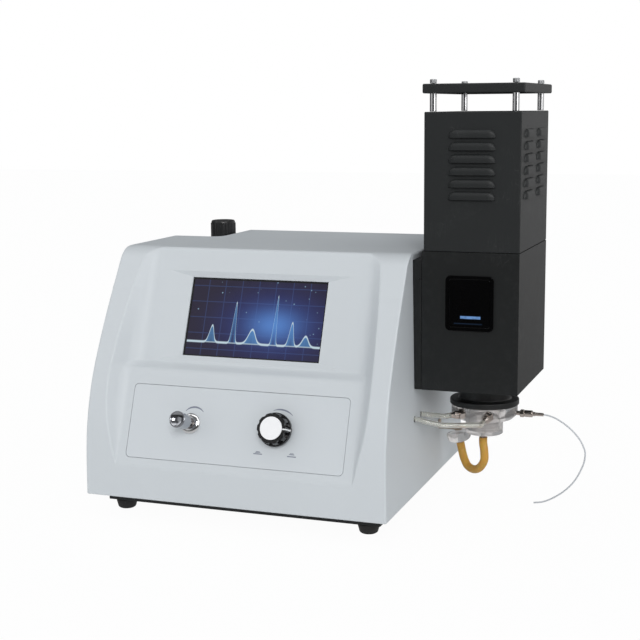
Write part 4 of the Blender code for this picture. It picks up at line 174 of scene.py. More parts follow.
# Sample capillary: the bends of the CAD route, from the ferrule's mouth to the bare end on the bench
CAPILLARY_EXIT = (0.2889, 0.178, 0.1015)
CAPILLARY_BENDS = ((GAP, 0.0, 0.0), (0.0060, 0.0001, -0.0008), (0.0155, 0.0005, -0.0044), (0.0280, 0.0012, -0.0130),
                   (0.0378, 0.0022, -0.0236), (0.0434, 0.0032, -0.0345), (0.0446, 0.0038, -0.0422),
                   (0.0424, 0.0046, -0.0538), (0.0343, 0.0056, -0.0708), (0.0236, 0.0062, -0.0834),
                   (0.0110, 0.0066, -0.0930), (0.0, 0.0068, -0.0985), (-0.0102, 0.0068, -0.1005))
CAPILLARY_RADIUS, CAPILLARY_STEPS, CAPILLARY_ROUNDNESS = 0.00085, 8, 6

# Lamps: azimuth from the front and height in degrees, strength and spread
LAMPS = (("key_light", 23, 26, 1.04, 20), ("left_light", -40, 16, 0.26, 50), ("side_light", 92, 10, 0.36, 60))
# Cards seen in reflections only: azimuth, height, distance, width, tallness and strength
REFLECTION_CARDS = ((62, 30, 2.2, 0.9, 2.4, 2.6), (-66, 40, 2.2, 0.9, 1.6, 1.2), (20, 74, 2.0, 2.2, 0.9, 1.5),
                    (150, 12, 2.4, 2.4, 2.0, 0.62))
CARD_AIM = 0.25
# The white floor shows in gloss and metal near the object, and dimly behind it
FLOOR_WIDTH, FLOOR_GLOW_REACH, FLOOR_GLOW_END = 14, 0.38, 0.70

# Peaks of the drawn spectrum: place, height and width in half screens
SPECTRUM_PEAKS = ((-0.62, 0.42, 0.045), (-0.30, 1.02, 0.030), (-0.02, 0.36, 0.070), (0.30, 1.22, 0.026),
                  (0.55, 0.58, 0.040), (0.76, 0.26, 0.060))
SPECTRUM_BASE = -0.62

BLACK = (0, 0, 0, 1)
DUST_COLOUR = (0.55, 0.55, 0.53, 1)
WORN_COLOUR = (0.05, 0.055, 0.055, 1)


# Places

def at(x, y, z):
    """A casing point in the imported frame."""
    return Vector((x, y, z)) + ORIGIN


def shift(*place):
    return Matrix.Translation(place)


def spin(turn, axis):
    return Matrix.Rotation(turn, 4, axis)


def stand(x, y, z):
    """Frame that stands upright at a casing point."""
    return Matrix.Translation(at(x, y, z))


def facing(spot, direction):
    """Frame that stands a piece made along +Z at a spot, along a direction."""
    return Matrix.Translation(spot) @ Vector((0, 0, 1)).rotation_difference(Vector(direction)).to_matrix().to_4x4()


PANEL_MATRIX = stand(0, 0, PANEL_FOOT) @ spin(QUARTER - PANEL_LEAN, 'X')
CREASE_Y = (PANEL_TOP - PANEL_FOOT) * math.tan(PANEL_LEAN) + SHOULDER_DEPTH
UPPER_MATRIX = stand(0, CREASE_Y, SHOULDER_TOP) @ spin(QUARTER - UPPER_LEAN, 'X')
SCREEN_MATRIX = UPPER_MATRIX @ shift(0, SCREEN_RISE, 0)
FINE_MATRIX = PANEL_MATRIX @ shift(FINE_VALVE_X, VALVE_RISE, 0)
GAS_MATRIX = PANEL_MATRIX @ shift(GAS_VALVE_X, VALVE_RISE, 0)
BURNER_MATRIX = stand(BURNER_X, BURNER_Y, 0)
NEBULISER_MATRIX = facing(at(BURNER_X + CHAMBER_RADIUS, BURNER_Y, NEBULISER_Z), (1, 0, 0))


# Working in object and edit mode

def pick(*pieces):
    bpy.ops.object.select_all(action='DESELECT')
    for piece in pieces:
        piece.select_set(True)
    bpy.context.view_layer.objects.active = pieces[0]


def select_all():
    bpy.ops.mesh.select_all(action='SELECT')


def edit(piece):
    pick(piece)
    bpy.ops.object.mode_set(mode='EDIT')
    select_all()


def leave_edit():
    bpy.ops.object.mode_set(mode='OBJECT')


def modify(piece, kind, **values):
    """Adds a modifier with these values and applies it."""
    modifier = piece.modifiers.new(kind.lower(), kind)
    for name, value in values.items():
        setattr(modifier, name, value)
    pick(piece)
    bpy.ops.object.modifier_apply(modifier=modifier.name)


def bevel(piece, width, segments=2):
    modify(piece, 'BEVEL', width=width, segments=segments, limit_method='ANGLE', angle_limit=BEVEL_ANGLE,
           use_clamp_overlap=True, miter_outer='MITER_ARC')


def settle(piece, matrix):
    """Puts a piece in its place and applies that to its mesh."""
    piece.matrix_world = matrix @ piece.matrix_world
    pick(piece)
    bpy.ops.object.transform_apply()


def named(name):
    """The object that the last call added, with its name, unturned and unscaled."""
    piece = bpy.context.object
    piece.name = name
    bpy.ops.object.transform_apply()
    return piece


def new_object(name, data):
    piece = bpy.data.objects.new(name, data)
    bpy.context.scene.collection.objects.link(piece)
    return piece


def skinned(name, loops, closed=False):
    """A skin over loops of points, with a face over both ends, or with its last loop joined to its first."""
    bm = bmesh.new()
    loops = [[bm.verts.new(point) for point in loop] for loop in loops]
    for lower, upper in zip(loops, loops[1:] + loops[:1] * closed):
        for number in range(len(lower)):
            after = (number + 1) % len(lower)
            bm.faces.new((lower[number], lower[after], upper[after], upper[number]))
    if not closed:
        bm.faces.new(list(reversed(loops[0])))
        bm.faces.new(loops[-1])
    bmesh.ops.recalc_face_normals(bm, faces=bm.faces)
    mesh = bpy.data.meshes.new(name)
    bm.to_mesh(mesh)
    bm.free()
    return new_object(name, mesh)


def dress(piece, finish, node=None, body=None, angle=SMOOTH_ANGLE):
    """Gives a piece its finish, smooth faces with crisp edges and the body it rides on, and hides the CAD part that it
    stands in for.
    """
    piece.data.materials.clear()
    piece.data.materials.append(finish)
    pick(piece)
    bpy.ops.object.shade_smooth_by_angle(angle=math.radians(angle))
    modify(piece, 'WEIGHTED_NORMAL', keep_sharp=True)
    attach(piece, BODY_OF[node] if node else body or "instrument")
    if node:
        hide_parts(node)


def combine(operation, piece, others):
    for other in others:
        modify(piece, 'BOOLEAN', operation=operation, solver='EXACT', object=other)
        bpy.data.objects.remove(other, do_unlink=True)


def subtract(piece, *cutters):
    combine('DIFFERENCE', piece, cutters)


def unite(piece, *others):
    combine('UNION', piece, others)


def joined(name, pieces):
    """Several objects as one, without merging their bodies."""
    pick(*pieces)
    bpy.ops.object.join()
    pieces[0].name = name
    return pieces[0]


def box_between(name, low, high, matrix=None):
    """A box between two corners, in a frame if one is given."""
    low, high = Vector(low), Vector(high)
    bpy.ops.mesh.primitive_cube_add(size=1.0, location=(low + high) / 2)
    bpy.context.object.scale = high - low
    piece = named(name)
    if matrix is not None:
        settle(piece, matrix)
    return piece


def torus(name, radius, wire, sides, matrix):
    bpy.ops.mesh.primitive_torus_add(major_radius=radius, minor_radius=wire, major_segments=sides[0],
                                     minor_segments=sides[1])
    piece = named(name)
    settle(piece, matrix)
    return piece


def lathe(name, profile, matrix, sides=64, hollow=False, edge=0.0, segments=2):
    """A turned piece: a circle extruded and resized through (radius, height) points about +Z."""
    radius, height = profile[0]
    bpy.ops.mesh.primitive_circle_add(vertices=sides, radius=radius, fill_type='NOTHING' if hollow else 'NGON',
                                      location=(0, 0, height))
    piece = named(name)
    edit(piece)
    for next_radius, next_height in (*profile[1:], *profile[:hollow]):
        bpy.ops.mesh.extrude_region_move(TRANSFORM_OT_translate={"value": (0, 0, next_height - height)})
        share = next_radius / radius
        bpy.ops.transform.resize(value=(share, share, 1.0), center_override=(0, 0, next_height))
        radius, height = next_radius, next_height
    select_all()
    bpy.ops.mesh.remove_doubles(threshold=MERGE)
    bpy.ops.mesh.normals_make_consistent(inside=False)
    leave_edit()
    if edge:
        bevel(piece, edge, segments)
    settle(piece, matrix)
    return piece


def drilled(name, radius, low, high, matrix, sides=32):
    """The plain round cutter of a hole along a frame's axis."""
    return lathe(name, ((radius, low), (radius, high)), matrix, sides)


def turned(name, profile, matrix, sides, shape):
    """A body about +Z whose radius at an angle follows from its shape, through (radius, height) points."""
    turns = [number / sides * 2 * math.pi for number in range(sides)]
    return skinned(name, [[matrix @ Vector((shape(turn, radius) * math.cos(turn), shape(turn, radius) * math.sin(turn),
                                            height)) for turn in turns] for radius, height in profile])


def fluted(count, reach, flute_radius, widest=math.inf):
    """Radius of a round body with round flutes cut along it, where it is no wider than a limit."""
    def radius_at(angle, radius):
        off = angle % (2 * math.pi / count) - math.pi / count
        aside = reach * math.sin(off)
        if abs(aside) >= flute_radius or radius > widest:
            return radius
        return min(radius, reach * math.cos(off) - math.sqrt(flute_radius ** 2 - aside ** 2))
    return radius_at


def ribbed(count, rib, least):
    """Radius of a round body with half-round ribs along it, where it is at least so wide."""
    def radius_at(angle, radius):
        if radius < least:
            return radius
        off = (angle + math.pi / count) % (2 * math.pi / count) - math.pi / count
        return radius + math.sqrt(max(0.0, rib ** 2 - (radius * off) ** 2))
    return radius_at


def smooth_route(points, steps):
    """Points along a Catmull-Rom curve through the given points."""
    points = [Vector(p) for p in points]
    padded = [points[0] * 2 - points[1]] + points + [points[-1] * 2 - points[-2]]
    route = []
    for before, start, end, after in zip(padded, padded[1:], padded[2:], padded[3:]):
        for t in (step / steps for step in range(steps)):
            route.append(0.5 * (2 * start + (end - before) * t + (2 * before - 5 * start + 4 * end - after) * t ** 2
                                + (3 * start - before - 3 * end + after) * t ** 3))
    return route + points[-1:]


def hose(name, route, outer, inner, sides=32):
    """A hollow tube along a route, cut square at both ends."""
    tangents = [(after - before).normalized() for before, after in
                zip([route[0]] + route[:-1], route[1:] + [route[-1]])]
    across = tangents[0].orthogonal().normalized()
    outside, inside = [], []
    for centre, tangent in zip(route, tangents):
        across = (across - tangent * across.dot(tangent)).normalized()
        side = tangent.cross(across)
        turns = [across * math.cos(turn) + side * math.sin(turn)
                 for turn in (number / sides * 2 * math.pi for number in range(sides))]
        outside.append([centre + turn * outer for turn in turns])
        inside.append([centre + turn * inner for turn in turns])
    return skinned(name, outside + inside[::-1], True)


# Shader graphs

class Value:
    """An output of a node, so that sums of values are written as sums."""

    def __init__(self, graph, socket):
        self.graph, self.socket = graph, socket

    def __add__(self, other):
        return self.graph.math('ADD', self, other)

    def __sub__(self, other):
        return self.graph.math('SUBTRACT', self, other)

    def __rsub__(self, other):
        return self.graph.math('SUBTRACT', other, self)

    def __mul__(self, other):
        return self.graph.math('MULTIPLY', self, other)

    def __truediv__(self, other):
        return self.graph.math('DIVIDE', self, other)

    def __pow__(self, other):
        return self.graph.math('POWER', self, other)

    def __abs__(self):
        return self.graph.math('ABSOLUTE', self)


class Graph:
    """Short ways to place and join nodes in one tree."""

    def __init__(self, tree):
        self.tree = tree

    def put(self, value, target):
        if isinstance(value, Value):
            self.tree.links.new(value.socket, target)
        else:
            target.default_value = value

    def node(self, kind, inputs=None, output=0, **settings):
        made = self.tree.nodes.new('ShaderNode' + kind)
        for name, value in settings.items():
            setattr(made, name, value)
        for name, value in (inputs or {}).items():
            self.put(value, made.inputs[name])
        return Value(self, made.outputs[output])

    def math(self, operation, *values, clamp=False):
        return self.node('Math', dict(enumerate(values)), operation=operation, use_clamp=clamp)

    def ramp(self, value, low, high, out_low=0.0, out_high=1.0):
        return self.node('MapRange', dict(enumerate((value, low, high, out_low, out_high))),
                         interpolation_type='SMOOTHSTEP')

    def fade(self, value, low, high):
        return self.ramp(value, low, high, 1.0, 0.0)

    def noise(self, vector, scale, detail=3.0, roughness=0.5, distortion=0.0):
        return self.node('TexNoise', {"Vector": vector, "Scale": scale, "Detail": detail, "Roughness": roughness,
                                      "Distortion": distortion}, "Fac")

    def mix(self, factor, first, second):
        return self.node('Mix', {"Factor": factor, "A": first, "B": second}, "Result", data_type='RGBA')

    def place(self):
        return self.node('TexCoord', output="Object")

    def parts(self, vector):
        first = self.node('SeparateXYZ', {0: vector})
        return [Value(self, socket) for socket in first.socket.node.outputs]

    def scaled(self, vector, scale):
        return self.node('VectorMath', {0: vector, "Scale": scale}, operation='SCALE')

    def bump(self, height, strength, distance):
        return self.node('Bump', {"Height": height, "Strength": strength, "Distance": distance})

    def group(self, tree, **values):
        first = self.node('Group', {name.replace("_", " "): value for name, value in values.items()}, node_tree=tree)
        return {socket.name: Value(self, socket) for socket in first.socket.node.outputs}


SOCKET_KINDS = {"Colour": 'NodeSocketColor', "Normal": 'NodeSocketVector'}


def new_group(name, inputs, outputs):
    """A node group as a graph and its inputs; fill_group gives it its results."""
    tree = bpy.data.node_groups.new(name, 'ShaderNodeTree')
    for label, value in inputs.items():
        tree.interface.new_socket(name=label, in_out='INPUT', socket_type=SOCKET_KINDS.get(label, 'NodeSocketFloat')
                                  ).default_value = value
    for label in outputs:
        tree.interface.new_socket(name=label, in_out='OUTPUT', socket_type=SOCKET_KINDS.get(label, 'NodeSocketFloat'))
    graph = Graph(tree)
    sockets = tree.nodes.new('NodeGroupInput').outputs
    return graph, graph.place(), [Value(graph, sockets[label]) for label in inputs]


def fill_group(graph, **results):
    target = graph.tree.nodes.new('NodeGroupOutput')
    for label, value in results.items():
        graph.put(value, target.inputs[label])
    return graph.tree


def make_grain_group():
    """Mottled colour, uneven gloss and a fine raised grain."""
    graph, place, (colour, mottle, mottle_scale, roughness, spread, scale, height) = new_group(
        "surface_grain", {"Colour": (0.5, 0.5, 0.5, 1), "Mottle": 0.04, "Mottle Scale": 14.0, "Roughness": 0.5,
                          "Roughness Spread": 0.08, "Grain Scale": 1800.0, "Grain Height": 0.1},
        ("Colour", "Roughness", "Normal"))
    broad = graph.noise(place, mottle_scale, 4.0, 0.6)
    fine = graph.noise(place, scale, 2.0, 0.6)
    gloss = graph.noise(place, mottle_scale * 2.3, 5.0, 0.65)
    shade = (broad - 0.5) * mottle + 1.0 + (fine - 0.5) * (mottle * 0.5)
    return fill_group(graph, Colour=graph.scaled(colour, shade), Normal=graph.bump(fine, height, 0.0002),
                      Roughness=graph.math('MULTIPLY_ADD', gloss - 0.5, spread, roughness, clamp=True))


def make_scratch_group():
    """Sparse thin scratches, as a mask."""
    graph, place, (scale, amount) = new_group("scratches", {"Scale": 40.0, "Amount": 0.5}, ("Mask",))
    lines = []
    for turn, stretch in ((0.5, 9.0), (1.9, 14.0)):
        mapped = graph.node('Mapping', {"Vector": place, "Rotation": (turn, turn * 0.7, turn * 1.3),
                                        "Scale": (stretch, 1.0, 1.0)})
        cells = graph.node('TexVoronoi', {"Vector": mapped, "Scale": scale}, "Distance", feature='DISTANCE_TO_EDGE')
        lines.append(graph.fade(cells, 0.0, 0.012))
    patch = graph.ramp(graph.noise(place, 26.0), 0.56, 0.66)
    return fill_group(graph, Mask=graph.math('MAXIMUM', *lines) * patch * amount)


def make_dust_group():
    """Dust on what faces up, as a mask."""
    graph, place, (amount,) = new_group("dust", {"Amount": 0.2}, ("Mask",))
    up = graph.ramp(graph.parts(graph.node('NewGeometry', output="Normal"))[2], 0.35, 0.95)
    specks = graph.ramp(graph.noise(place, 900.0, 2.0, 0.7), 0.5, 0.72)
    return fill_group(graph, Mask=up * (specks * 0.6 + graph.noise(place, 20.0, 4.0, 0.6) * 0.5) * amount)


def make_wear_group():
    """Rubbed edges, as a mask from how sharply the surface bends."""
    graph, place, (amount,) = new_group("edge_wear", {"Amount": 0.5}, ("Mask",))
    edge = graph.ramp(graph.node('NewGeometry', output="Pointiness"), 0.53, 0.60)
    worn = graph.ramp(graph.noise(place, 160.0, 4.0, 0.7), 0.45, 0.62)
    return fill_group(graph, Mask=edge * worn * amount)


def make_smudge_group():
    """Finger marks and faint polishing marks on gloss and metal: uneven roughness and a soft wave."""
    graph, place, (roughness, spread, scale) = new_group(
        "smudges", {"Roughness": 0.1, "Spread": 0.15, "Scale": 60.0}, ("Roughness", "Normal"))
    blots = graph.ramp(graph.noise(place, scale, 4.0, 0.6, 1.5), 0.42, 0.70)
    fine = graph.noise(place, scale * 18.0, 3.0, 0.6)
    return fill_group(graph, Normal=graph.bump(fine, 0.05, 0.0005),
                      Roughness=graph.math('MULTIPLY_ADD', fine, spread * 0.25, blots * spread + roughness, clamp=True))


GRAIN, SCRATCHES, DUST, WEAR, SMUDGES = (make() for make in (make_grain_group, make_scratch_group, make_dust_group,
                                                             make_wear_group, make_smudge_group))


# Finishes


def new_finish(name, slot=None, **constants):
    """A material as a graph, and its Principled shader's inputs; constants are plain socket values."""
    material = bpy.data.materials.new(name)
    material.use_nodes = True
    graph = Graph(material.node_tree)
    graph.material = material
    surface = material.node_tree.nodes["Principled BSDF"].inputs
    for label, value in constants.items():
        surface[label.replace("_", " ")].default_value = value
    return graph, surface


def fill_finish(graph, surface, source, *labels):
    """Joins the named results of a group to the shader's inputs."""
    for label in labels:
        graph.put(source[label], surface[label])
    return graph.material


def grained(name, slot, colour, roughness, mottle=0.05, scale=14.0, spread=0.08, grain=1800.0, height=0.1, dust=0.0,
            wear=0.0, scratches=0.0, **constants):
    """Moulded, coated or rubber finish: grain with optional dust, rubbed edges and scratches."""
    graph, surface = new_finish(name, slot, **constants)
    skin = graph.group(GRAIN, Colour=(*colour, 1), Mottle=mottle, Mottle_Scale=scale, Roughness=roughness,
                       Roughness_Spread=spread, Grain_Scale=grain, Grain_Height=height)
    tone = skin["Colour"]
    if wear:
        tone = graph.mix(graph.group(WEAR, Amount=wear)["Mask"], tone, WORN_COLOUR)
    if scratches:
        tone = graph.mix(graph.group(SCRATCHES, Scale=30.0, Amount=scratches)["Mask"], tone, DUST_COLOUR)
    if dust:
        tone = graph.mix(graph.group(DUST, Amount=dust)["Mask"], tone, DUST_COLOUR)
    graph.put(tone, surface["Base Color"])
    return fill_finish(graph, surface, skin, "Roughness", "Normal")


def polished(name, slot, colour, roughness, spread=0.12, scale=60.0, mottle=0.06, waves=True, **constants):
    """Bright metal, gloss or clear plastic: smudged, with a faintly uneven colour."""
    graph, surface = new_finish(name, slot, **constants)
    smudge = graph.group(SMUDGES, Roughness=roughness, Spread=spread, Scale=scale)
    tint = graph.group(GRAIN, Colour=(*colour, 1), Mottle=mottle, Mottle_Scale=scale)
    graph.put(tint["Colour"], surface["Base Color"])
    return fill_finish(graph, surface, smudge, "Roughness", *["Normal"][:waves])


def coated(name, colour, roughness, scratches):
    return grained(name, "black_powder_coat", colour, roughness, 0.06, 30.0, 0.05, 2000.0, 0.30, 0.02, 0.12, scratches,
                   Specular_IOR_Level=0.40)


CASING_PLASTIC = grained("casing_plastic", "casing_plastic", (0.600, 0.635, 0.660), 0.46, 0.045, 9.0, 0.10, 2600.0,
                         0.16, 0.05, IOR=1.5)
PLATE_PLASTIC = grained("control_plate_film", "casing_plastic", (0.610, 0.645, 0.672), 0.40, 0.03, 12.0, 0.06, 3200.0,
                        0.10, IOR=1.5)
POWDER_COAT = coated("black_powder_coat", (0.0142, 0.0163, 0.0170), 0.52, 0.04)
# The cover's black powder coat made darker for the housing and flange: painted shade; its grain, dust, rubbed edges and
# scratches are the coat's own
HOUSING_COAT_PAINTED_SHADE = coated("black_coat_painted_shade", (0.0062, 0.0075, 0.0078), 0.50, 0.045)
RING_COAT = grained("burner_ring_black", "black_powder_coat", (0.010, 0.011, 0.011), 0.42, 0.2, 30.0, 0.12, 1700.0,
                    0.25, 0.04)
GLOSS_BLACK = polished("window_gloss_black", "black_gloss", (0.0010, 0.0010, 0.0012), 0.05, 0.08, 45.0)
MOULDED_BLACK = grained("moulded_black", "black_plastic", (0.013, 0.013, 0.014), 0.34, 0.2, 24.0, 0.12, 2400.0, 0.12,
                        0.04)
KNOB_BLACK = polished("knob_gloss_black", "black_plastic", (0.006, 0.006, 0.007), 0.13, 0.14, 90.0)
RUBBER = grained("foot_rubber", "rubber", (0.010, 0.010, 0.010), 0.62, 0.3, 50.0, 0.15, 1300.0, 0.30, 0.08)
CHROME = polished("chrome", "chrome", (0.80, 0.80, 0.81), 0.07, 0.14, 120.0, Metallic=1.0)
NICKEL = polished("nickel_plate", "nickel", (0.58, 0.52, 0.48), 0.17, 0.12, 150.0, Metallic=1.0)
SATIN_CHROME = polished("satin_chrome", "chrome", (0.40, 0.41, 0.44), 0.12, 0.12, 90.0, 0.04, Metallic=1.0)
STEEL = polished("plain_steel", "steel", (0.47, 0.48, 0.49), 0.30, 0.22, 70.0, Metallic=1.0)
BRASS = polished("bracket_metal", "nickel", (0.42, 0.34, 0.27), 0.30, 0.20, 120.0, Metallic=1.0)
ACRYLIC = polished("clear_acrylic", "clear_plastic", (0.79, 0.77, 0.76), 0.07, 0.10, 55.0, 0.03, False,
                   Transmission_Weight=0.82, IOR=1.38)
TUBE_CLEAR = polished("clear_tube", "clear_tube", (0.97, 0.965, 0.92), 0.06, 0.08, 90.0, 0.03, False,
                      Transmission_Weight=0.92, IOR=1.38)
AMBER = grained("amber_rubber", "amber_rubber", (0.68, 0.37, 0.060), 0.30, 0.05, 50.0, 0.08, 1500.0, 0.04,
                Transmission_Weight=0.12, Subsurface_Weight=0.25, Subsurface_Scale=0.004)
WHITE_TUBE = polished("white_capillary_tube", "white_tube", (0.56, 0.58, 0.61), 0.40, 0.12, 120.0, 0.03, False)
CERAMIC = grained("ceramic", "ceramic", (0.75, 0.73, 0.67), 0.40, 0.08, 90.0, 0.10, 1500.0, 0.10)
BOARD = grained("circuit_board_green", "circuit_board", (0.015, 0.13, 0.05), 0.40, 0.4, 160.0, 0.15, 900.0, 0.2)
DARK_STEEL = polished("blackened_steel", None, (0.03, 0.03, 0.032), 0.32, 0.16, 160.0, Metallic=0.8)
MARK_WHITE = grained("printed_mark_white", None, (0.80, 0.81, 0.82), 0.42, 0.05, 80.0, 0.06, 2600.0, 0.05)
MARK_GREY = grained("printed_mark_grey", None, (0.20, 0.22, 0.28), 0.50, 0.08, 60.0, 0.05, 2600.0, 0.05)


def local_place(graph, matrix):
    """Object coordinates in a frame, its origin at zero and turned with it, then their X and Y."""
    place = graph.node('Mapping', {"Vector": graph.place(), "Location": matrix.to_translation(),
                                   "Rotation": matrix.to_euler()}, vector_type='TEXTURE')
    return (place, *graph.parts(place)[:2])


def bar_mask(graph, x, y, middle, half, soft):
    """A soft-edged bar about a middle."""
    return (graph.fade(abs(x - middle[0]), half[0] - soft, half[0])
            * graph.fade(abs(y - middle[1]), half[1] - soft, half[1]))


def lit_glass(graph, surface, lit, colour, strength, base, **smudges):
    """Ends a glass finish: its glow (the screen's lit picture, and in the window a painted reflection), its dark face
    and its finger marks.
    """
    graph.put(graph.mix(lit, BLACK, colour), surface["Emission Color"])
    surface["Emission Strength"].default_value = strength
    surface["Base Color"].default_value = base
    return fill_finish(graph, surface, graph.group(SMUDGES, **smudges), "Roughness")


def make_screen_finish():
    """A lit display: a blue glow, a faint grid, a spectrum with peaks, and soft dots."""
    graph, surface = new_finish("display_picture", "screen", IOR=1.5)
    place, x, y = local_place(graph, SCREEN_MATRIX)
    across, up = x / (SCREEN_WIDTH / 2), y / (SCREEN_HEIGHT / 2)
    offset, lift = (across - 0.28) * 0.85, (up + 0.12) * 0.80
    glow = graph.fade(graph.math('SQRT', offset * offset + lift * lift), 0.0, 1.1)
    curve = SPECTRUM_BASE
    for middle, height, width in SPECTRUM_PEAKS:
        part = (across - middle) / width
        curve = graph.math('EXPONENT', part * part * -1.0) * height + curve
    above = up - curve
    over = graph.math('GREATER_THAN', above, 0.0)
    line = graph.fade(abs(above), 0.008, 0.042)
    baseline = graph.fade(abs(up - SPECTRUM_BASE), 0.006, 0.022)
    under = graph.ramp(above, -0.9, 0.0, 0.10, 0.75) * graph.math('LESS_THAN', above, 0.0)
    under = under * graph.math('GREATER_THAN', up, SPECTRUM_BASE)
    grid = graph.math('MAXIMUM', graph.fade(graph.math('PINGPONG', across, 0.125), 0.0, 0.010),
                      graph.fade(graph.math('PINGPONG', up, 0.20), 0.0, 0.018))
    dots = graph.node('TexVoronoi', {"Vector": place, "Scale": 150.0}, "Distance", feature='F1')
    dots = graph.fade(dots, 0.06, 0.16) * graph.ramp(graph.noise(place, 60.0, 2.0), 0.52, 0.62) * over
    tone = (0.014, 0.009, 0.034, 1)
    for mask, colour in ((glow, (0.022, 0.036, 0.21, 1)), (glow ** 5.0, (0.10, 0.27, 0.72, 1)),
                         (grid * 0.22, (0.10, 0.22, 0.62, 1)), (under * 0.55, (0.16, 0.50, 0.98, 1)),
                         (dots * 0.65, (0.45, 0.75, 1.0, 1)),
                         (graph.math('MAXIMUM', line, baseline * 0.6), (0.72, 0.90, 1.0, 1))):
        tone = graph.mix(mask, tone, colour)
    lit = bar_mask(graph, x, y, (0, 0), (SCREEN_WIDTH / 2 - SCREEN_RIM, SCREEN_HEIGHT / 2 - SCREEN_RIM), 0.0002)
    return lit_glass(graph, surface, lit, tone, 0.70, (0.004, 0.004, 0.006, 1), Roughness=0.14, Spread=0.14, Scale=35.0)


def make_window_finish():
    """Dark gloss glass with a painted blue reflection glowing low in it and a fainter painted glint under it."""
    graph, surface = new_finish("window_dark_glass", "black_gloss", IOR=1.5)
    place, x, y = local_place(graph, stand(TOWER_X, TOWER_FRONT, WINDOW_CENTRE) @ spin(QUARTER, 'X'))
    # light and faint are painted reflections: blue emission painted into the glass, with no lamp behind it
    light, faint = (bar_mask(graph, x, y, *bar) for bar in (WINDOW_PAINTED_REFLECTION, WINDOW_PAINTED_GLINT))
    patch = graph.ramp(graph.noise(place, 220.0, 2.0), 0.30, 0.62, 0.62, 1.0)
    return lit_glass(graph, surface, light * patch + faint * 0.05, (0.14, 0.28, 0.56, 1), 1.0,
                     (0.0010, 0.0010, 0.0012, 1), Roughness=0.05, Spread=0.08, Scale=40.0)


def make_spun_finish(matrix):
    """Bright metal turned about a frame's Z axis: fine rings, and light drawn out across them."""
    graph, surface = new_finish("spun_aluminium", "aluminium", Metallic=0.0, Anisotropic=0.45)
    _, x, y = local_place(graph, matrix)
    along = graph.node('CombineXYZ', {"X": graph.math('SQRT', x * x + y * y) * 9000.0})
    rings = graph.noise(along, 1.0, 3.0, 0.7)
    graph.put(graph.scaled((0.98, 0.98, 0.99), graph.ramp(rings, 0.3, 0.7, 0.86, 1.0)), surface["Base Color"])
    graph.put(graph.ramp(rings, 0.3, 0.7, 0.34, 0.48), surface["Roughness"])
    centre = graph.node('VectorMath', {0: graph.place(), 1: matrix.to_translation()}, operation='SUBTRACT')
    tangent = graph.node('VectorMath', {0: matrix.to_3x3() @ Vector((0, 0, 1)), 1: centre}, operation='CROSS_PRODUCT')
    graph.put(graph.node('VectorTransform', {0: tangent}, vector_type='VECTOR', convert_from='OBJECT',
                         convert_to='WORLD'), surface["Tangent"])
    return graph.material


SCREEN_PICTURE = make_screen_finish()
DARK_GLASS = make_window_finish()
SPUN_DISC = make_spun_finish(GAS_MATRIX)


# Studio

def make_camera():
    lens = bpy.data.cameras.new("photo_camera")
    lens.lens, lens.sensor_width, lens.clip_end = CAMERA_LENS, SENSOR_WIDTH, VIEW_END
    camera = new_object("photo_camera", lens)
    yaw, pitch, roll = (math.radians(turn) for turn in CAMERA_TURN)
    camera.matrix_world = stand(*CAMERA_PLACE) @ spin(yaw, 'Z') @ spin(QUARTER - pitch, 'X') @ spin(roll, 'Z')
    bpy.context.scene.camera = camera


def way_to(azimuth, height):
    """Unit vector towards a place in the studio, in degrees from the front and over the floor."""
    turn, climb = math.radians(azimuth), math.radians(height)
    return Vector((math.sin(turn) * math.cos(climb), -math.cos(turn) * math.cos(climb), math.sin(climb)))


def add_plane(name, size, material):
    bpy.ops.mesh.primitive_plane_add(size=size)
    plane = bpy.context.object
    plane.name = name
    plane.data.materials.append(material)
    return plane


def end_shader(graph, shader, output="Material Output"):
    graph.put(shader, graph.tree.nodes[output].inputs["Surface"])


def make_card(azimuth, height, distance, width, tallness, strength):
    """A bright card that shows in reflections only."""
    way = way_to(azimuth, height)
    graph, _ = new_finish("reflection_card")
    end_shader(graph, graph.node('Emission', {"Strength": strength}))
    card = add_plane("reflection_card", 1.0, graph.material)
    card.scale = (width, tallness, 1)
    card.rotation_euler = way.to_track_quat('Z', 'Y').to_euler()
    card.location = way * distance + Vector((0, 0, CARD_AIM))
    card.visible_camera = card.visible_diffuse = card.visible_transmission = card.visible_shadow = False


def make_floor():
    """White floor with a faint shadow, dimmed where gloss and metal would mirror too much of it."""
    graph, surface = new_finish("studio_floor", Roughness=0.9)
    surface["Base Color"].default_value = (0.90, 0.90, 0.90, 1)
    plain = Value(graph, graph.tree.nodes["Principled BSDF"].outputs[0])
    mirrored = graph.node('LightPath', output="Is Glossy Ray")
    reach = graph.node('VectorMath', {0: graph.place()}, "Value", operation='LENGTH')
    dimmed = graph.ramp(reach, FLOOR_GLOW_REACH, FLOOR_GLOW_END, 0.45, 0.97)
    dimmed = dimmed * graph.ramp(graph.parts(graph.place())[1], 0.1, 0.9, 1.0, 0.60)
    white = graph.node('Emission', {"Strength": 1.0 - mirrored * dimmed})
    seen = graph.math('MAXIMUM', graph.node('LightPath', output="Is Camera Ray") * 0.965,
                      graph.math('MAXIMUM', mirrored, graph.node('LightPath', output="Is Transmission Ray")))
    end_shader(graph, graph.node('MixShader', {0: seen, 1: plain, 2: white}))
    add_plane("studio_floor", FLOOR_WIDTH, graph.material)


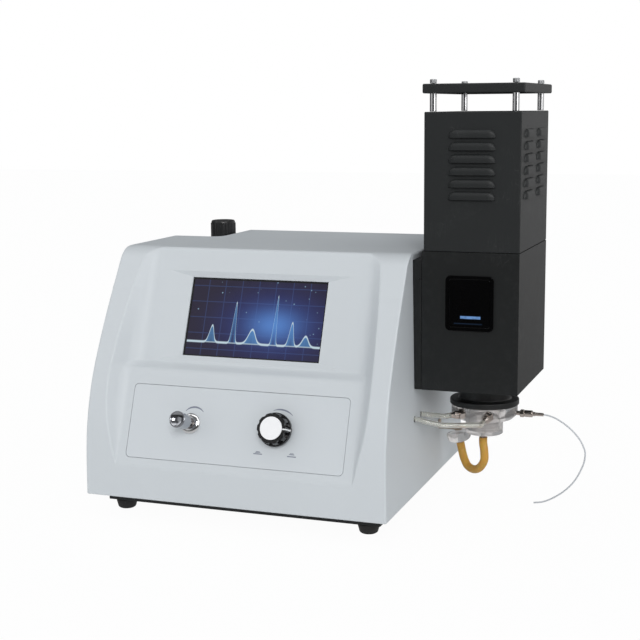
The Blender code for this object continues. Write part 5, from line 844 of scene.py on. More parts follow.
def make_world():
    """Soft light from all around, and a plain white surround where the camera looks past the object."""
    world = bpy.data.worlds.new("studio")
    bpy.context.scene.world = world
    world.use_nodes = True
    graph = Graph(world.node_tree)
    up = graph.parts(graph.node('TexCoord', output="Generated"))[2]
    glossy = graph.node('LightPath', output="Is Glossy Ray")
    light = world.node_tree.nodes["Background"]
    light.inputs["Color"].default_value = (0.96, 0.98, 1.0, 1)
    graph.put(graph.ramp(up, 0.0, 0.9, 0.50, 0.64) * (1.0 - glossy * 0.80), light.inputs["Strength"])
    surround = graph.node('Background', {"Color": (1, 1, 1, 1)})
    seen = graph.math('MAXIMUM', graph.node('LightPath', output="Is Camera Ray"),
                      graph.node('LightPath', output="Is Transmission Ray"))
    blend = graph.node('MixShader', {0: seen, 1: Value(graph, light.outputs[0]), 2: surround})
    end_shader(graph, blend, "World Output")


def make_stage():
    make_floor()
    make_world()
    for name, azimuth, height, strength, spread in LAMPS:
        lamp = bpy.data.lights.new(name, 'SUN')
        lamp.energy, lamp.angle = strength, math.radians(spread)
        new_object(name, lamp).rotation_euler = way_to(azimuth, height).to_track_quat('Z', 'Y').to_euler()
    for card in REFLECTION_CARDS:
        make_card(*card)
    bpy.context.scene.view_settings.view_transform = 'Standard'


def make_capillary():
    exit_point = at(*CAPILLARY_EXIT)
    route = smooth_route([exit_point + Vector(bend) for bend in CAPILLARY_BENDS], CAPILLARY_STEPS)
    curve = bpy.data.curves.new("sample_capillary", 'CURVE')
    curve.dimensions = '3D'
    curve.bevel_depth, curve.bevel_resolution = CAPILLARY_RADIUS, CAPILLARY_ROUNDNESS
    curve.use_fill_caps = True
    spline = curve.splines.new('POLY')
    spline.points.add(len(route) - 1)
    for place, point in zip(spline.points, route):
        place.co = (*point, 1.0)
    piece = new_object("sample_capillary", curve)
    piece.data.materials.append(WHITE_TUBE)
    length = sum((after - before).length for before, after in zip(route, route[1:]))
    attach(piece, "instrument")
    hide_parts("capillary")


# Casing skin

def interpolate(table, share):
    for (low, low_value), (high, high_value) in zip(table, table[1:]):
        if share <= high:
            return low_value + (high_value - low_value) * (share - low) / (high - low)
    return table[-1][1]


def height_share(z):
    return (z - CASING_BOTTOM) / CASING_HEIGHT


def softened(profile, z, reach=SOFTENING):
    """A profile with its kinks rounded: its mean over a short reach of heights."""
    low, high = max(CASING_BOTTOM, z - reach), min(CASING_TOP, z + reach)
    reach = min(z - low, high - z)
    return sum(profile(z + reach * step / 4) for step in range(-4, 5)) / 9


def brow(z, corner_y, slope, rounding):
    """Depth of a leaning face near the top, rounded into the top: corner_y is where the two planes would meet."""
    lean = math.atan(slope)
    tangent = rounding * math.tan((QUARTER - lean) / 2)
    if z <= CASING_TOP - tangent * math.cos(lean):
        return corner_y - slope * (CASING_TOP - z)
    rise = min(1.0, (z - CASING_TOP + rounding) / rounding)
    return corner_y + tangent - rounding * math.sqrt(1 - rise ** 2)


def cheek_table(z):
    return interpolate(CHEEK_SHARES, height_share(z)) * CASING_DEPTH


def cheek_y(z):
    (low, low_depth), (high, high_depth) = CHEEK_SHARES[-2:]
    slope = (high_depth - low_depth) * CASING_DEPTH / ((high - low) * CASING_HEIGHT)
    if height_share(z) <= high:
        return softened(cheek_table, z, SOFTENING * 3)
    return brow(z, high_depth * CASING_DEPTH + slope * (1 - high) * CASING_HEIGHT, slope, CHEEK_ROUNDING)


def floor_table(z):
    panel = max(0.0, min(z, PANEL_TOP) - PANEL_FOOT) * math.tan(PANEL_LEAN)
    if z <= PANEL_TOP:
        return panel
    if z <= SHOULDER_TOP:
        return panel + interpolate(SHOULDER_SHARES, (z - PANEL_TOP) / (SHOULDER_TOP - PANEL_TOP)) * SHOULDER_DEPTH
    return CREASE_Y + (z - SHOULDER_TOP) * math.tan(UPPER_LEAN)


def floor_y(z):
    if z < CASING_TOP - BROW_ROUNDING * 2:
        return softened(floor_table, z)
    slope = math.tan(UPPER_LEAN)
    return brow(z, CREASE_Y + (CASING_TOP - SHOULDER_TOP) * slope, slope, BROW_ROUNDING)


def side_reach(z):
    """Half the casing's width at a height, rounded into the top."""
    straight = HALF_WIDTH - SIDE_DRAFT_SHARE * (z - CASING_BOTTOM)
    rise = max(0.0, (z - CASING_TOP + EDGE_ROUNDING) / EDGE_ROUNDING)
    return straight - EDGE_ROUNDING * (1 - math.sqrt(max(0.0, 1 - rise ** 2)))


def fillet(before, corner, after, reach, steps):
    """Points of a soft corner, which begins at most reach away from it."""
    into, out = before - corner, after - corner
    reach = min(reach, into.length * EDGE_SHARE, out.length * EDGE_SHARE)
    start, end = corner + into.normalized() * reach, corner + out.normalized() * reach
    return [start * (1 - t) ** 2 + corner * 2 * t * (1 - t) + end * t ** 2
            for t in (step / steps for step in range(steps + 1))]


def section(z, wall=0.0, front_wall=0.0, back=CASING_DEPTH, steps=9):
    """The casing's rounded cross-section at a height, inset by its walls, as points at that height."""
    known = min(max(z, CASING_BOTTOM), CASING_TOP)
    side = side_reach(known) - wall
    mouth, foot = (softened(lambda h: interpolate(table, height_share(h)), known) * HALF_WIDTH + wall
                   for table in (MOUTH_SHARES, FOOT_SHARES))
    outer, inner = cheek_y(known) + front_wall, floor_y(known) + front_wall
    right = [Vector(place) for place in ((side, back), (side, outer), (mouth, outer), (foot, inner))]
    corners = [Vector((-p.x, p.y)) for p in right] + right[::-1]
    reaches = (BACK_REACH, CORNER_REACH, MOUTH_REACH, FOOT_REACH)
    points = []
    for number, (corner, reach) in enumerate(zip(corners, reaches + reaches[::-1])):
        points += fillet(corners[number - 1], corner, corners[(number + 1) % len(corners)], reach, steps)
    return [at(p.x, p.y, z) for p in points]


def skin_heights():
    """Heights of the skin's rows: even up the front, close together at the foot, the shoulder and the brow."""
    heights = [CASING_BOTTOM + LIP_ROUNDING, PANEL_FOOT, PANEL_TOP, SHOULDER_TOP]
    rows = int(CASING_HEIGHT / ROW_PITCH)
    heights += [CASING_BOTTOM + LIP_ROUNDING + row * CASING_HEIGHT / rows for row in range(rows)]
    for middle in (PANEL_FOOT, PANEL_TOP, SHOULDER_TOP):
        heights += [middle + step * SOFTENING / 3 for step in range(-4, 5)]
    for rounding in (CHEEK_ROUNDING, BROW_ROUNDING, EDGE_ROUNDING):
        heights += [CASING_TOP - rounding * (1 - math.cos(math.radians(turn))) for turn in range(0, 60, 4)]
    heights = sorted(z for z in heights if z <= CASING_TOP)
    kept = heights[:1]
    for z in heights[1:]:
        if z - kept[-1] > LEAST_ROW:
            kept.append(z)
    kept[-1] = CASING_TOP
    return kept


def niche_cutter(name, wall):
    """The corner niche's space, grown by a wall on its inner sides, with its upright inner corner rounded."""
    low = at(-HALF_WIDTH - OVERRUN, NICHE_FRONT - wall, NICHE_FLOOR - wall)
    high = at(NICHE_SIDE + wall, CASING_DEPTH + OVERRUN * 2, CASING_TOP + OVERRUN)
    cutter = box_between(name, low, high)
    edit(cutter)
    bpy.ops.mesh.select_all(action='DESELECT')
    leave_edit()
    for edge in cutter.data.edges:
        ends = [cutter.data.vertices[number].co for number in edge.vertices]
        edge.select = all(abs(end.x - high.x) < MERGE and abs(end.y - low.y) < MERGE for end in ends)
    bpy.ops.object.mode_set(mode='EDIT')
    bpy.ops.mesh.select_mode(type='EDGE')
    bpy.ops.mesh.bevel(offset=NICHE_CORNER + wall, segments=10, affect='EDGES')
    leave_edit()
    return cutter


def rounded_plate(name, width, height, corner, thickness, matrix):
    """A flat plate with round corners, its top face on the frame's plane."""
    bpy.ops.mesh.primitive_plane_add(size=1.0)
    bpy.context.object.scale = (width, height, 1)
    piece = named(name)
    edit(piece)
    bpy.ops.mesh.bevel(offset=corner, segments=8, affect='VERTICES')
    select_all()
    bpy.ops.mesh.extrude_region_move(TRANSFORM_OT_translate={"value": (0, 0, -thickness)})
    select_all()
    bpy.ops.mesh.normals_make_consistent(inside=False)
    leave_edit()
    settle(piece, matrix)
    return piece


def make_casing():
    """The moulded cover: rounded cheeks and trough, mitred screen recess, plate recess, tube holes and niche."""
    lip = section(CASING_BOTTOM, LIP_ROUNDING, LIP_ROUNDING)
    casing = skinned("casing_skin", [lip] + [section(z) for z in skin_heights()])
    levels = [CASING_BOTTOM - OVERRUN, PANEL_TOP, SHOULDER_TOP, CASING_TOP - SIDE_WALL]
    levels += [CASING_BOTTOM + share * CASING_HEIGHT for share, _ in CHEEK_SHARES[1:]]
    hollow = skinned("casing_hollow", [section(z, SIDE_WALL, FRONT_WALL, CASING_DEPTH + OVERRUN, 1)
                                       for z in sorted(levels)])
    subtract(hollow, niche_cutter("niche_with_wall", SIDE_WALL))
    subtract(casing, hollow, niche_cutter("niche_space", 0.0))

    half = Vector((SCREEN_WIDTH / 2, SCREEN_HEIGHT / 2, 0))
    recess = box_between("recess", -half - Vector((0, 0, RECESS_DEPTH)), half)
    reach = 1 + GAP / RECESS_DEPTH
    for vertex in recess.data.vertices:
        if vertex.co.z > -RECESS_DEPTH / 2:
            vertex.co.x += math.copysign(RECESS_SIDE * reach, vertex.co.x)
            vertex.co.y += math.copysign(RECESS_TOP * reach, vertex.co.y)
            vertex.co.z += GAP
    settle(recess, SCREEN_MATRIX)
    opening = box_between("opening", -half - Vector((0, 0, FRONT_WALL * 2)), half + Vector((0, 0, OVERRUN)),
                          SCREEN_MATRIX)
    seat = rounded_plate("plate_seat", PLATE_WIDTH + 2 * PLATE_GROOVE, PLATE_HEIGHT + 2 * PLATE_GROOVE,
                         PLATE_CORNER + PLATE_GROOVE, PLATE_THICKNESS + GAP + OVERRUN,
                         PANEL_MATRIX @ shift(0, PLATE_RISE, OVERRUN))
    subtract(casing, recess, opening, seat)
    cutters = [drilled("fine_hole", FINE_HOLE_RADIUS, -FRONT_WALL * 2, OVERRUN, FINE_MATRIX),
               drilled("gas_hole", GAS_HOLE_RADIUS, -FRONT_WALL * 2, OVERRUN, GAS_MATRIX)]
    for name, radius, y, z in (("gas_tube_hole", TUBE_HOLE_RADIUS, GAS_TUBE_Y, TUBE_EXIT_Z),
                               ("air_tube_hole", TUBE_HOLE_RADIUS, AIR_TUBE_Y, TUBE_EXIT_Z),
                               ("optics_hole", OPTICS_HOLE_RADIUS, TOWER_Y, OPTICS_Z)):
        cutters.append(drilled(name, radius, -OVERRUN * 3, OVERRUN, facing(at(side_reach(z), y, z), (1, 0, 0))))
    subtract(casing, *cutters)
    dress(casing, CASING_PLASTIC, "casing_cover", angle=CASING_SMOOTH)


# Control plate and feet

def band(name, matrix, radius, width, start, end, steps=24):
    """A flat printed arc on a frame's plane, drawn thinner towards its ends."""
    rings = []
    for share in (step / steps for step in range(steps + 1)):
        turn = math.radians(start + (end - start) * share)
        half = width / 2 * (MARK_TAPER + (1 - MARK_TAPER) * math.sin(math.pi * share))
        rings.append([matrix @ Vector((reach * math.cos(turn), reach * math.sin(turn), lift)) for reach, lift in (
            (radius - half, MARK_FOOT), (radius + half, MARK_FOOT), (radius + half, MARK_TOP),
            (radius - half, MARK_TOP))])
    return skinned(name, rings)


def make_plate_marks():
    """Printed marks: an arc over each valve and two push signs under the gas knob."""
    marks = [band(name, matrix @ shift(*middle, 0), *measures) for name, matrix, (middle, *measures) in
             (("fine_arc", FINE_MATRIX, FINE_ARC), ("gas_arc", GAS_MATRIX, GAS_ARC))]
    for x, lift in PUSH_SIGNS:
        for name, half, low, high in (("push_line", 0.0048, -0.0006, 0.0004),
                                      ("push_foot", 0.0028, lift, lift + 0.0007),
                                      ("push_head", 0.0020, lift + 0.0010, lift + 0.0017)):
            marks.append(box_between(name, (-half, low, MARK_FOOT), (half, high, MARK_TOP),
                                     GAS_MATRIX @ shift(x, PUSH_RISE, 0)))
    dress(joined("plate_marks", marks), MARK_GREY)


def make_valves():
    nut = lathe("fine_valve_nut_piece", ((0.0058, GAP), (FINE_NUT_RADIUS, GAP), (FINE_NUT_RADIUS, 0.0012),
                                         (0.0102, 0.0024), (0.0082, FINE_NUT_THICKNESS),
                                         (0.0058, FINE_NUT_THICKNESS)), FINE_MATRIX, 96, True, 0.00025, 3)
    dress(nut, CHROME, "fine_valve_nut")
    grip = lathe("fine_valve_grip", ((SPINDLE_RADIUS, SPINDLE_FOOT), (SPINDLE_RADIUS, 0.0140), (0.0072, 0.0146),
                                     (0.0080, 0.0155), (0.0081, 0.0240), (0.0083, 0.0290), (0.0087, 0.0322),
                                     (0.0087, 0.0336), (0.0083, 0.0340), (0.0076, 0.0340), (0.0, 0.0285)),
                 FINE_MATRIX, 96, False, 0.0003, 3)
    dress(grip, SATIN_CHROME, "fine_valve_knob")

    outline = ((KNOB_WELL, KNOB_CEILING), (KNOB_WELL, KNOB_LOW), (0.0170, KNOB_LOW), (0.0175, KNOB_LOW + 0.0005),
               (0.0175, 0.0078), (0.0173, 0.0083), (0.01665, 0.0085), (0.0165, 0.0092), (0.0162, 0.0120),
               (0.0160, 0.0155), (0.0158, 0.0170), (0.0155, 0.0177), (0.0150, KNOB_TOP), (0.0125, KNOB_TOP),
               (0.0122, KNOB_TOP - 0.0003), (0.0060, KNOB_TOP - 0.0003))
    dress(turned("gas_knob_piece", outline, GAS_MATRIX, 216,
                 fluted(KNOB_FLUTES, KNOB_FLUTE_REACH, KNOB_FLUTE_RADIUS, KNOB_GRIP_RADIUS)), KNOB_BLACK, "gas_knob")
    ridge = ((0.01745, 0.00850), (0.01675, 0.0092), (0.0164, 0.0120), (0.0162, 0.0155), (0.0159, 0.0172),
             (0.0153, 0.0181), (0.0128, 0.01815))
    pointer = skinned("gas_knob_pointer", [[GAS_MATRIX @ Vector((x - inward * POINTER_DEPTH, side * POINTER_WIDTH,
                                                                 z - inward * POINTER_DROP))
                                            for side, inward in ((-1, 0), (1, 0), (1, 1), (-1, 1))]
                                           for x, z in ridge])
    dress(pointer, MARK_WHITE, body=BODY_OF["gas_knob"])
    disc = lathe("gas_knob_disc", ((0.0114, KNOB_TOP + GAP), (KNOB_DISC_RADIUS, 0.0186), (KNOB_DISC_RADIUS, 0.0191),
                                   (0.0115, 0.0194), (0.0105, 0.0195), (0.0008, 0.0194), (0.0, 0.0193)),
                 GAS_MATRIX, 128)
    dress(disc, SPUN_DISC, "gas_knob_cap")


def make_feet():
    outline = ((0.0062, 0), (0.0078, 0.0003), (0.0090, 0.0011), (0.0097, 0.0022), (0.0111, 0.0076), (0.0113, 0.0084),
               (0.0113, FOOT_TOP))
    for end, y in zip(("front", "back"), FOOT_DEPTHS):
        for side, x in (("left", -FOOT_ACROSS), ("right", FOOT_ACROSS)):
            node = "foot_%s_%s" % (end, side)
            dress(lathe(node + "_piece", outline, stand(x, y, 0), edge=0.0003), RUBBER, node)


# Tower

def swell(share, powers):
    """A full curve from one down to zero, as a share goes from zero to one."""
    return (1 - share ** powers[0]) ** powers[1]


def louvre_body(matrix, grow=0.0):
    """A pressed louvre on a frame's plane: straight lip below, drawn down to the sheet above and at its ends."""
    half = LOUVRE_WIDTH / 2 - grow
    low = -LOUVRE_HEIGHT / 2 - (GAP if grow else 0.0)
    high = LOUVRE_HEIGHT / 2 - grow
    root = -2 * TOWER_SHEET if grow else -TOWER_SHEET / 2
    stations = [-half + LOUVRE_END * (1 - math.cos(math.radians(turn))) for turn in range(0, 91, 10)]
    rings = []
    for x in stations + [-x for x in reversed(stations)]:
        share = max(0.0, (abs(x) - half + LOUVRE_END) / LOUVRE_END)
        crown = (LOUVRE_PROUD - grow + LOUVRE_SUNK) * swell(share, LOUVRE_END_POWERS)
        top = low + (high - low) * max(LOUVRE_LEAST, math.sqrt(1 - share ** 2))
        ring = [(low + (top - low) * t, -LOUVRE_SUNK + crown * swell(t, LOUVRE_FACE_POWERS))
                for t in (step / 10 for step in range(11))]
        rings.append([matrix @ Vector((x, y, z)) for y, z in ((low, root), *ring, (top, root))])
    return skinned("louvre", rings)


def louvre_frames():
    middle_x = (COVER_LEFT + TOWER_RIGHT) / 2
    columns = [(middle_x, TOWER_FRONT, 0), (middle_x, TOWER_BACK, math.pi)]
    for y in (TOWER_Y - LOUVRE_COLUMN_SPACING / 2, TOWER_Y + LOUVRE_COLUMN_SPACING / 2):
        columns += [(TOWER_RIGHT, y, QUARTER), (COVER_LEFT, y, -QUARTER)]
    return [stand(x, y, LOUVRE_TOP - LOUVRE_HEIGHT / 2 - row * LOUVRE_PITCH) @ spin(turn, 'Z') @ spin(QUARTER, 'X')
            for row in range(LOUVRE_ROWS) for x, y, turn in columns]


def tower_box(name, inset, low, high):
    return box_between(name, at(COVER_LEFT + inset, TOWER_FRONT + inset, low),
                       at(TOWER_RIGHT - inset, TOWER_BACK - inset, high))


def make_cover():
    cover = tower_box("chimney_cover_piece", 0, COVER_BOTTOM, COVER_TOP)
    bevel(cover, 0.0011, 3)
    frames = louvre_frames()
    unite(cover, joined("louvres_out", [louvre_body(place) for place in frames]))
    inner_top = COVER_TOP - TOWER_SHEET
    subtract(cover, tower_box("cover_inside", TOWER_SHEET, COVER_BOTTOM - OVERRUN, inner_top),
             tower_box("cover_mouth", COVER_RIM, inner_top - OVERRUN, COVER_TOP + OVERRUN),
             joined("louvres_in", [louvre_body(place, LOUVRE_SHEET) for place in frames]))
    dress(cover, POWDER_COAT, "chimney_cover", angle=COVER_SMOOTH)


def make_posts():
    """Chrome posts under the top plate, and the socket screws in it."""
    post = ((0.0032, POST_LOW), (0.0035, POST_LOW + 0.0004), (0.0035, POST_HIGH - 0.0004), (0.0032, POST_HIGH),
            (0.0020, POST_HIGH), (0.0020, 0.4440), (0.0, 0.4438))
    head = ((0.0016, -0.0060), (0.0016, 0.0), (0.0031, 0.0), (0.0033, 0.0003), (0.0033, 0.0036), (0.0030, 0.0041),
            (0.0026, 0.0042))
    for end, y in (("front", TOWER_FRONT + POST_INSET), ("back", TOWER_BACK - POST_INSET)):
        for side, x in (("left", COVER_LEFT + POST_INSET), ("right", TOWER_RIGHT - POST_INSET)):
            place = "%s_%s" % (end, side)
            dress(lathe("post_%s_piece" % place, post, stand(x, y, 0)), CHROME, "post_" + place)
            seat = stand(x, y, SCREW_SEAT)
            screw = turned("screw_%s_piece" % place, head, seat, 120, ribbed(20, 0.00018, 0.0032))
            subtract(screw, drilled("hex_socket", 0.00155, 0.0020, 0.0052, seat, 6))
            dress(screw, STEEL, "screw_" + place)


def make_tower_screws():
    """Small dark screws: one beside the flange, and those of the rear panel."""
    heads = [lathe("flange_screw", ((0.0013, 0.0), (0.0017, 0.0002), (0.0015, 0.0008), (0.0006, 0.0010)),
                   facing(at(HOUSING_LEFT - 0.0014, TOWER_FRONT, 0.2527), (0, -1, 0)), 24)]
    for x, z in REAR_SCREWS:
        place = facing(at(x, REAR_FACE, z), (0, 1, 0))
        head = lathe("rear_screw", ((0.0030, 0.0001), (0.0031, 0.0005), (0.0027, 0.0013), (0.0015, 0.0018),
                                    (0.0006, 0.0018)), place, 32)
        subtract(head, box_between("slot", (-0.0018, -0.0003, 0.0010), (0.0018, 0.0003, 0.0030), place))
        heads.append(head)
    dress(joined("panel_screws", heads), DARK_STEEL)


# Burner, chamber, fittings

def fitting_frames():
    frames = []
    for name, turn, inset, along in FITTINGS:
        reach = CHAMBER_RADIUS - inset
        seat = at(BURNER_X + reach * math.cos(turn), BURNER_Y + reach * math.sin(turn), FITTING_Z)
        frames.append((name, seat, Vector(along).normalized()))
    return frames


def make_burner_pieces():
    """Burner ring, the clear chamber with its three ports, and the clear base with the drain spigot."""
    ring = lathe("burner_ring_piece", ((0.0078, 0.1362), (0.028, 0.1362), (0.028, 0.1185), (0.0284, 0.1172),
                                       (0.0292, 0.1165), (0.0362, 0.1165), (0.0369, 0.1161), (RING_RADIUS, 0.1154),
                                       (RING_RADIUS, 0.1110), (0.0368, RING_BOTTOM), (0.0078, RING_BOTTOM)),
                 BURNER_MATRIX, 128, True)
    dress(ring, RING_COAT, "burner_ring")

    chamber = lathe("mixing_chamber_piece", ((0.0045, CHAMBER_TOP), (0.0352, CHAMBER_TOP),
                                             (CHAMBER_RADIUS, CHAMBER_TOP - 0.0005), (CHAMBER_RADIUS, 0.1002),
                                             (0.0354, 0.0996), (0.0312, 0.0954), (0.0306, CHAMBER_BOTTOM),
                                             (0.0165, CHAMBER_BOTTOM), (0.0165, 0.1062), (0.0162, 0.1065),
                                             (0.0045, 0.1065)), BURNER_MATRIX, 128, True)
    cutters = []
    for _, seat, out in fitting_frames():
        cutters.append(drilled("port", 0.0033, -0.0043, 0.008, facing(seat, out)))
        cutters.append(drilled("seat", 0.0063, 0.0, 0.008, facing(seat, out), 48))
    subtract(chamber, *cutters, drilled("port", 0.0027, -0.0063, OVERRUN, NEBULISER_MATRIX))
    dress(chamber, ACRYLIC, "mixing_chamber")

    base = lathe("chamber_base_piece", ((0.0196, BASE_BOTTOM), (0.0202, BASE_BOTTOM + 0.0006), (0.0202, 0.0947),
                                        (0.0150, 0.0947), (0.0150, 0.0812), (0.0144, 0.0806), (0.0, 0.0806)),
                 BURNER_MATRIX, 128)
    spigot = stand(SPIGOT_X, BURNER_Y, 0)
    unite(base, lathe("spigot", ((0.0027, SPIGOT_LOW), (0.0030, SPIGOT_LOW + 0.0005), (0.0030, 0.0790)), spigot, 48))
    subtract(base, drilled("bore", 0.0015, SPIGOT_LOW - OVERRUN, 0.0850, spigot))
    dress(base, ACRYLIC, "chamber_base")


def make_fittings():
    """Nickel fittings with a hexagon and a knurled collar, and the hollow clear tubes on them."""
    tips = {}
    for name, seat, out in fitting_frames():
        tips[name] = (seat + out * (FITTING_LENGTH + GAP), out)
        matrix = facing(seat, out)
        body = lathe("fitting", ((0.0030, -0.0040), (0.0030, 0.0031), (0.0042, 0.0031), (0.0042, 0.0066),
                                 (0.0036, 0.0068), (0.0036, 0.0072), (0.0036, 0.0113), (0.0030, 0.0122),
                                 (0.0030, 0.0135), (0.0027, 0.0138), (0.0030, 0.0142), (0.0030, FITTING_LENGTH)),
                     matrix)
        unite(body, lathe("hexagon", ((0.0052, GAP), (0.0060, 0.0009), (0.0060, 0.0056), (0.0052, 0.0063)), matrix, 6),
              turned("collar", ((0.0041, 0.0071), (0.0044, 0.0074), (0.0044, 0.0108), (0.0041, 0.0111)), matrix, 144,
                     fluted(24, 0.00452, 0.00030)))
        body.name = name + "_fitting_piece"
        dress(body, NICKEL, name + "_fitting")

    # Bends of the tubes in tube widths: how far along the fitting, then from its tip, then from the casing's hole
    side, width = side_reach(TUBE_EXIT_Z), 2 * TUBE_RADIUS
    for name, tube_y, tip_share, tip_shares, hole_shares in (
            ("gas", GAS_TUBE_Y, 1.3, (), ((2.0, 0.207, -0.103), (0.8, 0.0, 0.0))),
            ("air", AIR_TUBE_Y, 1.1, ((-1.9, -1.7, -0.25),), ((5.2, 1.0, -0.95), (2.6, 0.25, -0.45),
                                                              (0.6, 0.0, 0.0)))):
        (tip, out), hole = tips[name], at(side, tube_y, TUBE_EXIT_Z)
        points = [tip + out * TUBE_RADIUS, tip + out * width * tip_share]
        points += [tip + width * Vector(shares) for shares in tip_shares]
        points += [hole + width * Vector(shares) for shares in hole_shares]
        points.append(hole - Vector((TUBE_INSIDE, 0, 0)))
        dress(hose(name + "_tube_piece", [tip] + smooth_route(points, TUBE_STEPS), TUBE_RADIUS, TUBE_BORE),
              TUBE_CLEAR, name + "_tube", angle=HOSE_SMOOTH)


def make_nebuliser():
    body = lathe("nebuliser_body_piece", ((0.0024, -0.0060), (0.0024, 0.0058), (0.0028, 0.0058), (0.0028, 0.0139)),
                 NEBULISER_MATRIX, 48)
    unite(body, lathe("hexagon", ((0.0038, 0.0035), (0.0044, 0.0041), (0.0044, 0.0075), (0.0038, 0.0080)),
                      NEBULISER_MATRIX, 6))
    subtract(body, drilled("passage", 0.00115, -0.0100, 0.0180, NEBULISER_MATRIX, 24))
    dress(body, NICKEL, "nebuliser_body")
    outline = ((0.00115, 0.0142), (0.0031, 0.0142), (0.0031, 0.0083), (0.0035, 0.0083), (0.0037, 0.0085),
               (0.0037, 0.0164), (0.0035, 0.0168), (0.0024, 0.0170), (0.0023, 0.0180), (0.0023, 0.0196),
               (0.0019, 0.0200), (0.0018, 0.0284), (0.0017, 0.0286), (0.00115, 0.0286))
    dress(lathe("nebuliser_nut_piece", outline, NEBULISER_MATRIX, 96, True), NICKEL, "nebuliser_nut")


def make_drain():
    """Fluted clear trap, and the amber tube in a loop from the chamber's spigot to it."""
    axis = Vector((math.sin(TRAP_LEAN), 0, -math.cos(TRAP_LEAN)))
    top = at(*TRAP_PLACE)
    outline = ((0.0030, 0.0070), (0.0032, 0.0066), (0.0032, 0.0002), (0.0036, 0.0), (0.93 * TRAP_RADIUS, 0.0),
               (0.975 * TRAP_RADIUS, -0.0004), (TRAP_RADIUS, -0.0013), (0.97 * TRAP_RADIUS, -0.60 * TRAP_HEIGHT),
               (0.88 * TRAP_RADIUS, -0.82 * TRAP_HEIGHT), (0.70 * TRAP_RADIUS, -TRAP_HEIGHT),
               (0.0033, -TRAP_HEIGHT), (0.0030, -TRAP_HEIGHT - 0.0003), (0.0030, -TRAP_HEIGHT - TRAP_NOZZLE + 0.0004),
               (0.0026, -TRAP_HEIGHT - TRAP_NOZZLE))
    dress(turned("drain_trap_piece", outline, facing(top, -axis), 224,
                 fluted(TRAP_FLUTES, TRAP_FLUTE_REACH, TRAP_FLUTE_RADIUS)), ACRYLIC, "drain_trap")
    nozzle = top + axis * TRAP_HEIGHT + axis * TRAP_NOZZLE
    start = at(SPIGOT_X, BURNER_Y, SPIGOT_LOW + 0.0062)
    points = [start, start - Vector((0, 0, 0.0065))]
    for across, rise in DRAIN_LOOP_SHARES:
        points.append(start.lerp(nozzle, across))
        points[-1].z = DRAIN_LOW + rise * (start.z - DRAIN_LOW)
    points += [nozzle + axis * 0.0041, nozzle + axis * GAP, nozzle - axis * 0.0043]
    dress(hose("drain_tube_piece", smooth_route(points, DRAIN_STEPS), DRAIN_RADIUS, DRAIN_BORE, 40), AMBER,
          "drain_tube", angle=HOSE_SMOOTH)


# Regulator and rear side

def make_regulator_pieces():
    outline = ((0.0043, 0.0158), (0.0043, 0.0), (0.0140, 0.0), (0.0145, 0.0004), (0.0146, 0.0008), (0.0146, 0.0236),
               (0.0145, 0.0240), (0.0144, 0.0252), (0.0140, 0.0262), (0.0133, 0.0268), (0.0124, 0.0270),
               (0.0040, 0.0266))
    dress(turned("regulator_knob_piece", outline, stand(*REGULATOR_PLACE, REGULATOR_KNOB_LOW), 240,
                 ribbed(REGULATOR_RIBS, REGULATOR_RIB, REGULATOR_RIBBED)), MOULDED_BLACK, "regulator_knob")
    low, matrix = -BOWL_DEPTH, stand(*REGULATOR_PLACE, BOWL_TOP)
    bowl = lathe("filter_bowl_piece", ((0.0140, 0.0), (0.0173, 0.0), (0.0173, -0.0080), (0.0165, -0.0084),
                                       (0.0165, low + 0.0060), (0.0158, low + 0.0030), (0.0140, low), (0.0050, low),
                                       (0.0050, low - 0.0076), (0.0046, low - 0.0080), (0.0, low - 0.0080)), matrix, 96)
    subtract(bowl, lathe("bowl_inside", ((0.0060, low + 0.0025), (0.0130, low + 0.0040), (0.0140, low + 0.0060),
                                         (0.0140, 0.0040)), matrix, 96))
    dress(bowl, ACRYLIC, "filter_bowl")


def make_fan_guard():
    """Wire guard over the fan: three rings and a cross."""
    x, z = FAN_PLACE
    matrix = stand(x, REAR_FACE + GUARD_LIFT, z) @ spin(QUARTER, 'X')
    wires = [torus("guard_ring", radius, GUARD_RING_WIRE, (96, 12), matrix) for radius in GUARD_RINGS]
    for turn in (45, 135):
        along = matrix @ spin(math.radians(turn), 'Z') @ spin(QUARTER, 'Y')
        wires.append(drilled("guard_wire", GUARD_CROSS_WIRE, -GUARD_REACH, GUARD_REACH, along, 12))
    dress(joined("fan_guard", wires), CHROME)


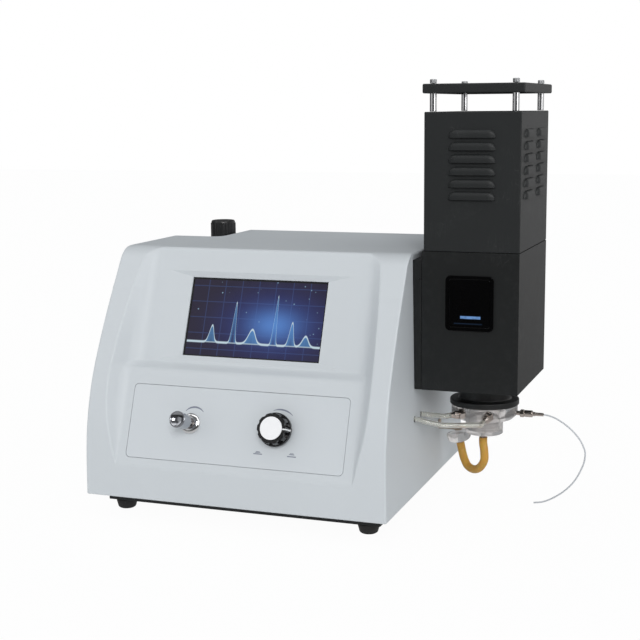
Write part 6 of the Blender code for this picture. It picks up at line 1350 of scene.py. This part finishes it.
def make_rocker_marks():
    """The line and the ring on the rocker's two halves, which slope down to its middle."""
    joints = frame["record"]["behaviour"]["joints"]
    hinge = next(joint["pos_m"] for joint in joints if joint["name"] == "power_switch_rock")
    upper, lower = (shift(*hinge) @ spin(ROCKER_TILT, 'X') @ shift(0, ROCKER_FACE, half * ROCKER_HALF)
                    @ spin(-half * ROCKER_SLOPE, 'X') for half in (1, -1))
    line = box_between("on_mark", (-0.0006, -0.0008, -0.0024), (0.0006, 0.0001, 0.0024), upper)
    ring = torus("off_mark", 0.0021, 0.0005, (48, 10), lower @ shift(0, -0.0004, 0) @ spin(QUARTER, 'X'))
    dress(joined("rocker_marks", [line, ring]), MARK_WHITE, body=BODY_OF["switch_rocker"])


# Clean copies of the CAD pieces with rounded edges: the finish, then each node with its edges' width

REFINED = (
    (PLATE_PLASTIC, {"control_panel": 0.0003}), (SCREEN_PICTURE, {"screen_glass": 0.0002}),
    (POWDER_COAT, {"base_plate": 0.0008, "top_plate": 0.0006, "rear_panel": 0.0004}),
    # Flange and burner housing take the darker coat with painted shade
    (HOUSING_COAT_PAINTED_SHADE, {"mounting_flange": 0.0008, "burner_housing": 0.0011}),
    (GLOSS_BLACK, {"window_bezel": 0.0007}), (DARK_GLASS, {"viewing_window": 0.0003}),
    (MOULDED_BLACK, {"display_module": 0.0006, "power_inlet": 0.0005, "switch_frame": 0.0004, "switch_rocker": 0.0005,
                     "fan_frame": 0.0006, "fan_rotor": 0.0002, "regulator_body": 0.0008, "detector_housing": 0.0010}),
    (BOARD, {"main_board": 0.0002}),
    (STEEL, {"power_supply": 0.0004, "gas_valve_stem": 0.0002, "regulator_spindle": 0.0003, "burner_head": 0.0004,
             "flame_chimney": 0.0002}),
    (NICKEL, {"fine_valve_body": 0.0003, "gas_valve_body": 0.0003, "gas_inlet": 0.0003}),
    (BRASS, {"trap_bracket": 0.0003}), (CERAMIC, {"igniter": 0.0003}))


def make_refined_pieces():
    for finish, widths in REFINED:
        for node, width in widths.items():
            piece = new_object(node + "_piece", NODES[node].data.copy())
            edit(piece)
            bpy.ops.mesh.remove_doubles(threshold=MERGE)
            bpy.ops.mesh.dissolve_limited(angle_limit=math.radians(0.5))
            leave_edit()
            pick(piece)
            bpy.ops.mesh.customdata_custom_splitnormals_clear()
            bevel(piece, width)
            dress(piece, finish, node)


for make in (make_camera, make_stage, make_capillary, make_casing, make_refined_pieces, make_plate_marks, make_valves,
             make_feet, make_cover, make_posts, make_tower_screws, make_burner_pieces, make_fittings, make_nebuliser,
             make_drain, make_regulator_pieces, make_fan_guard, make_rocker_marks):
    make()
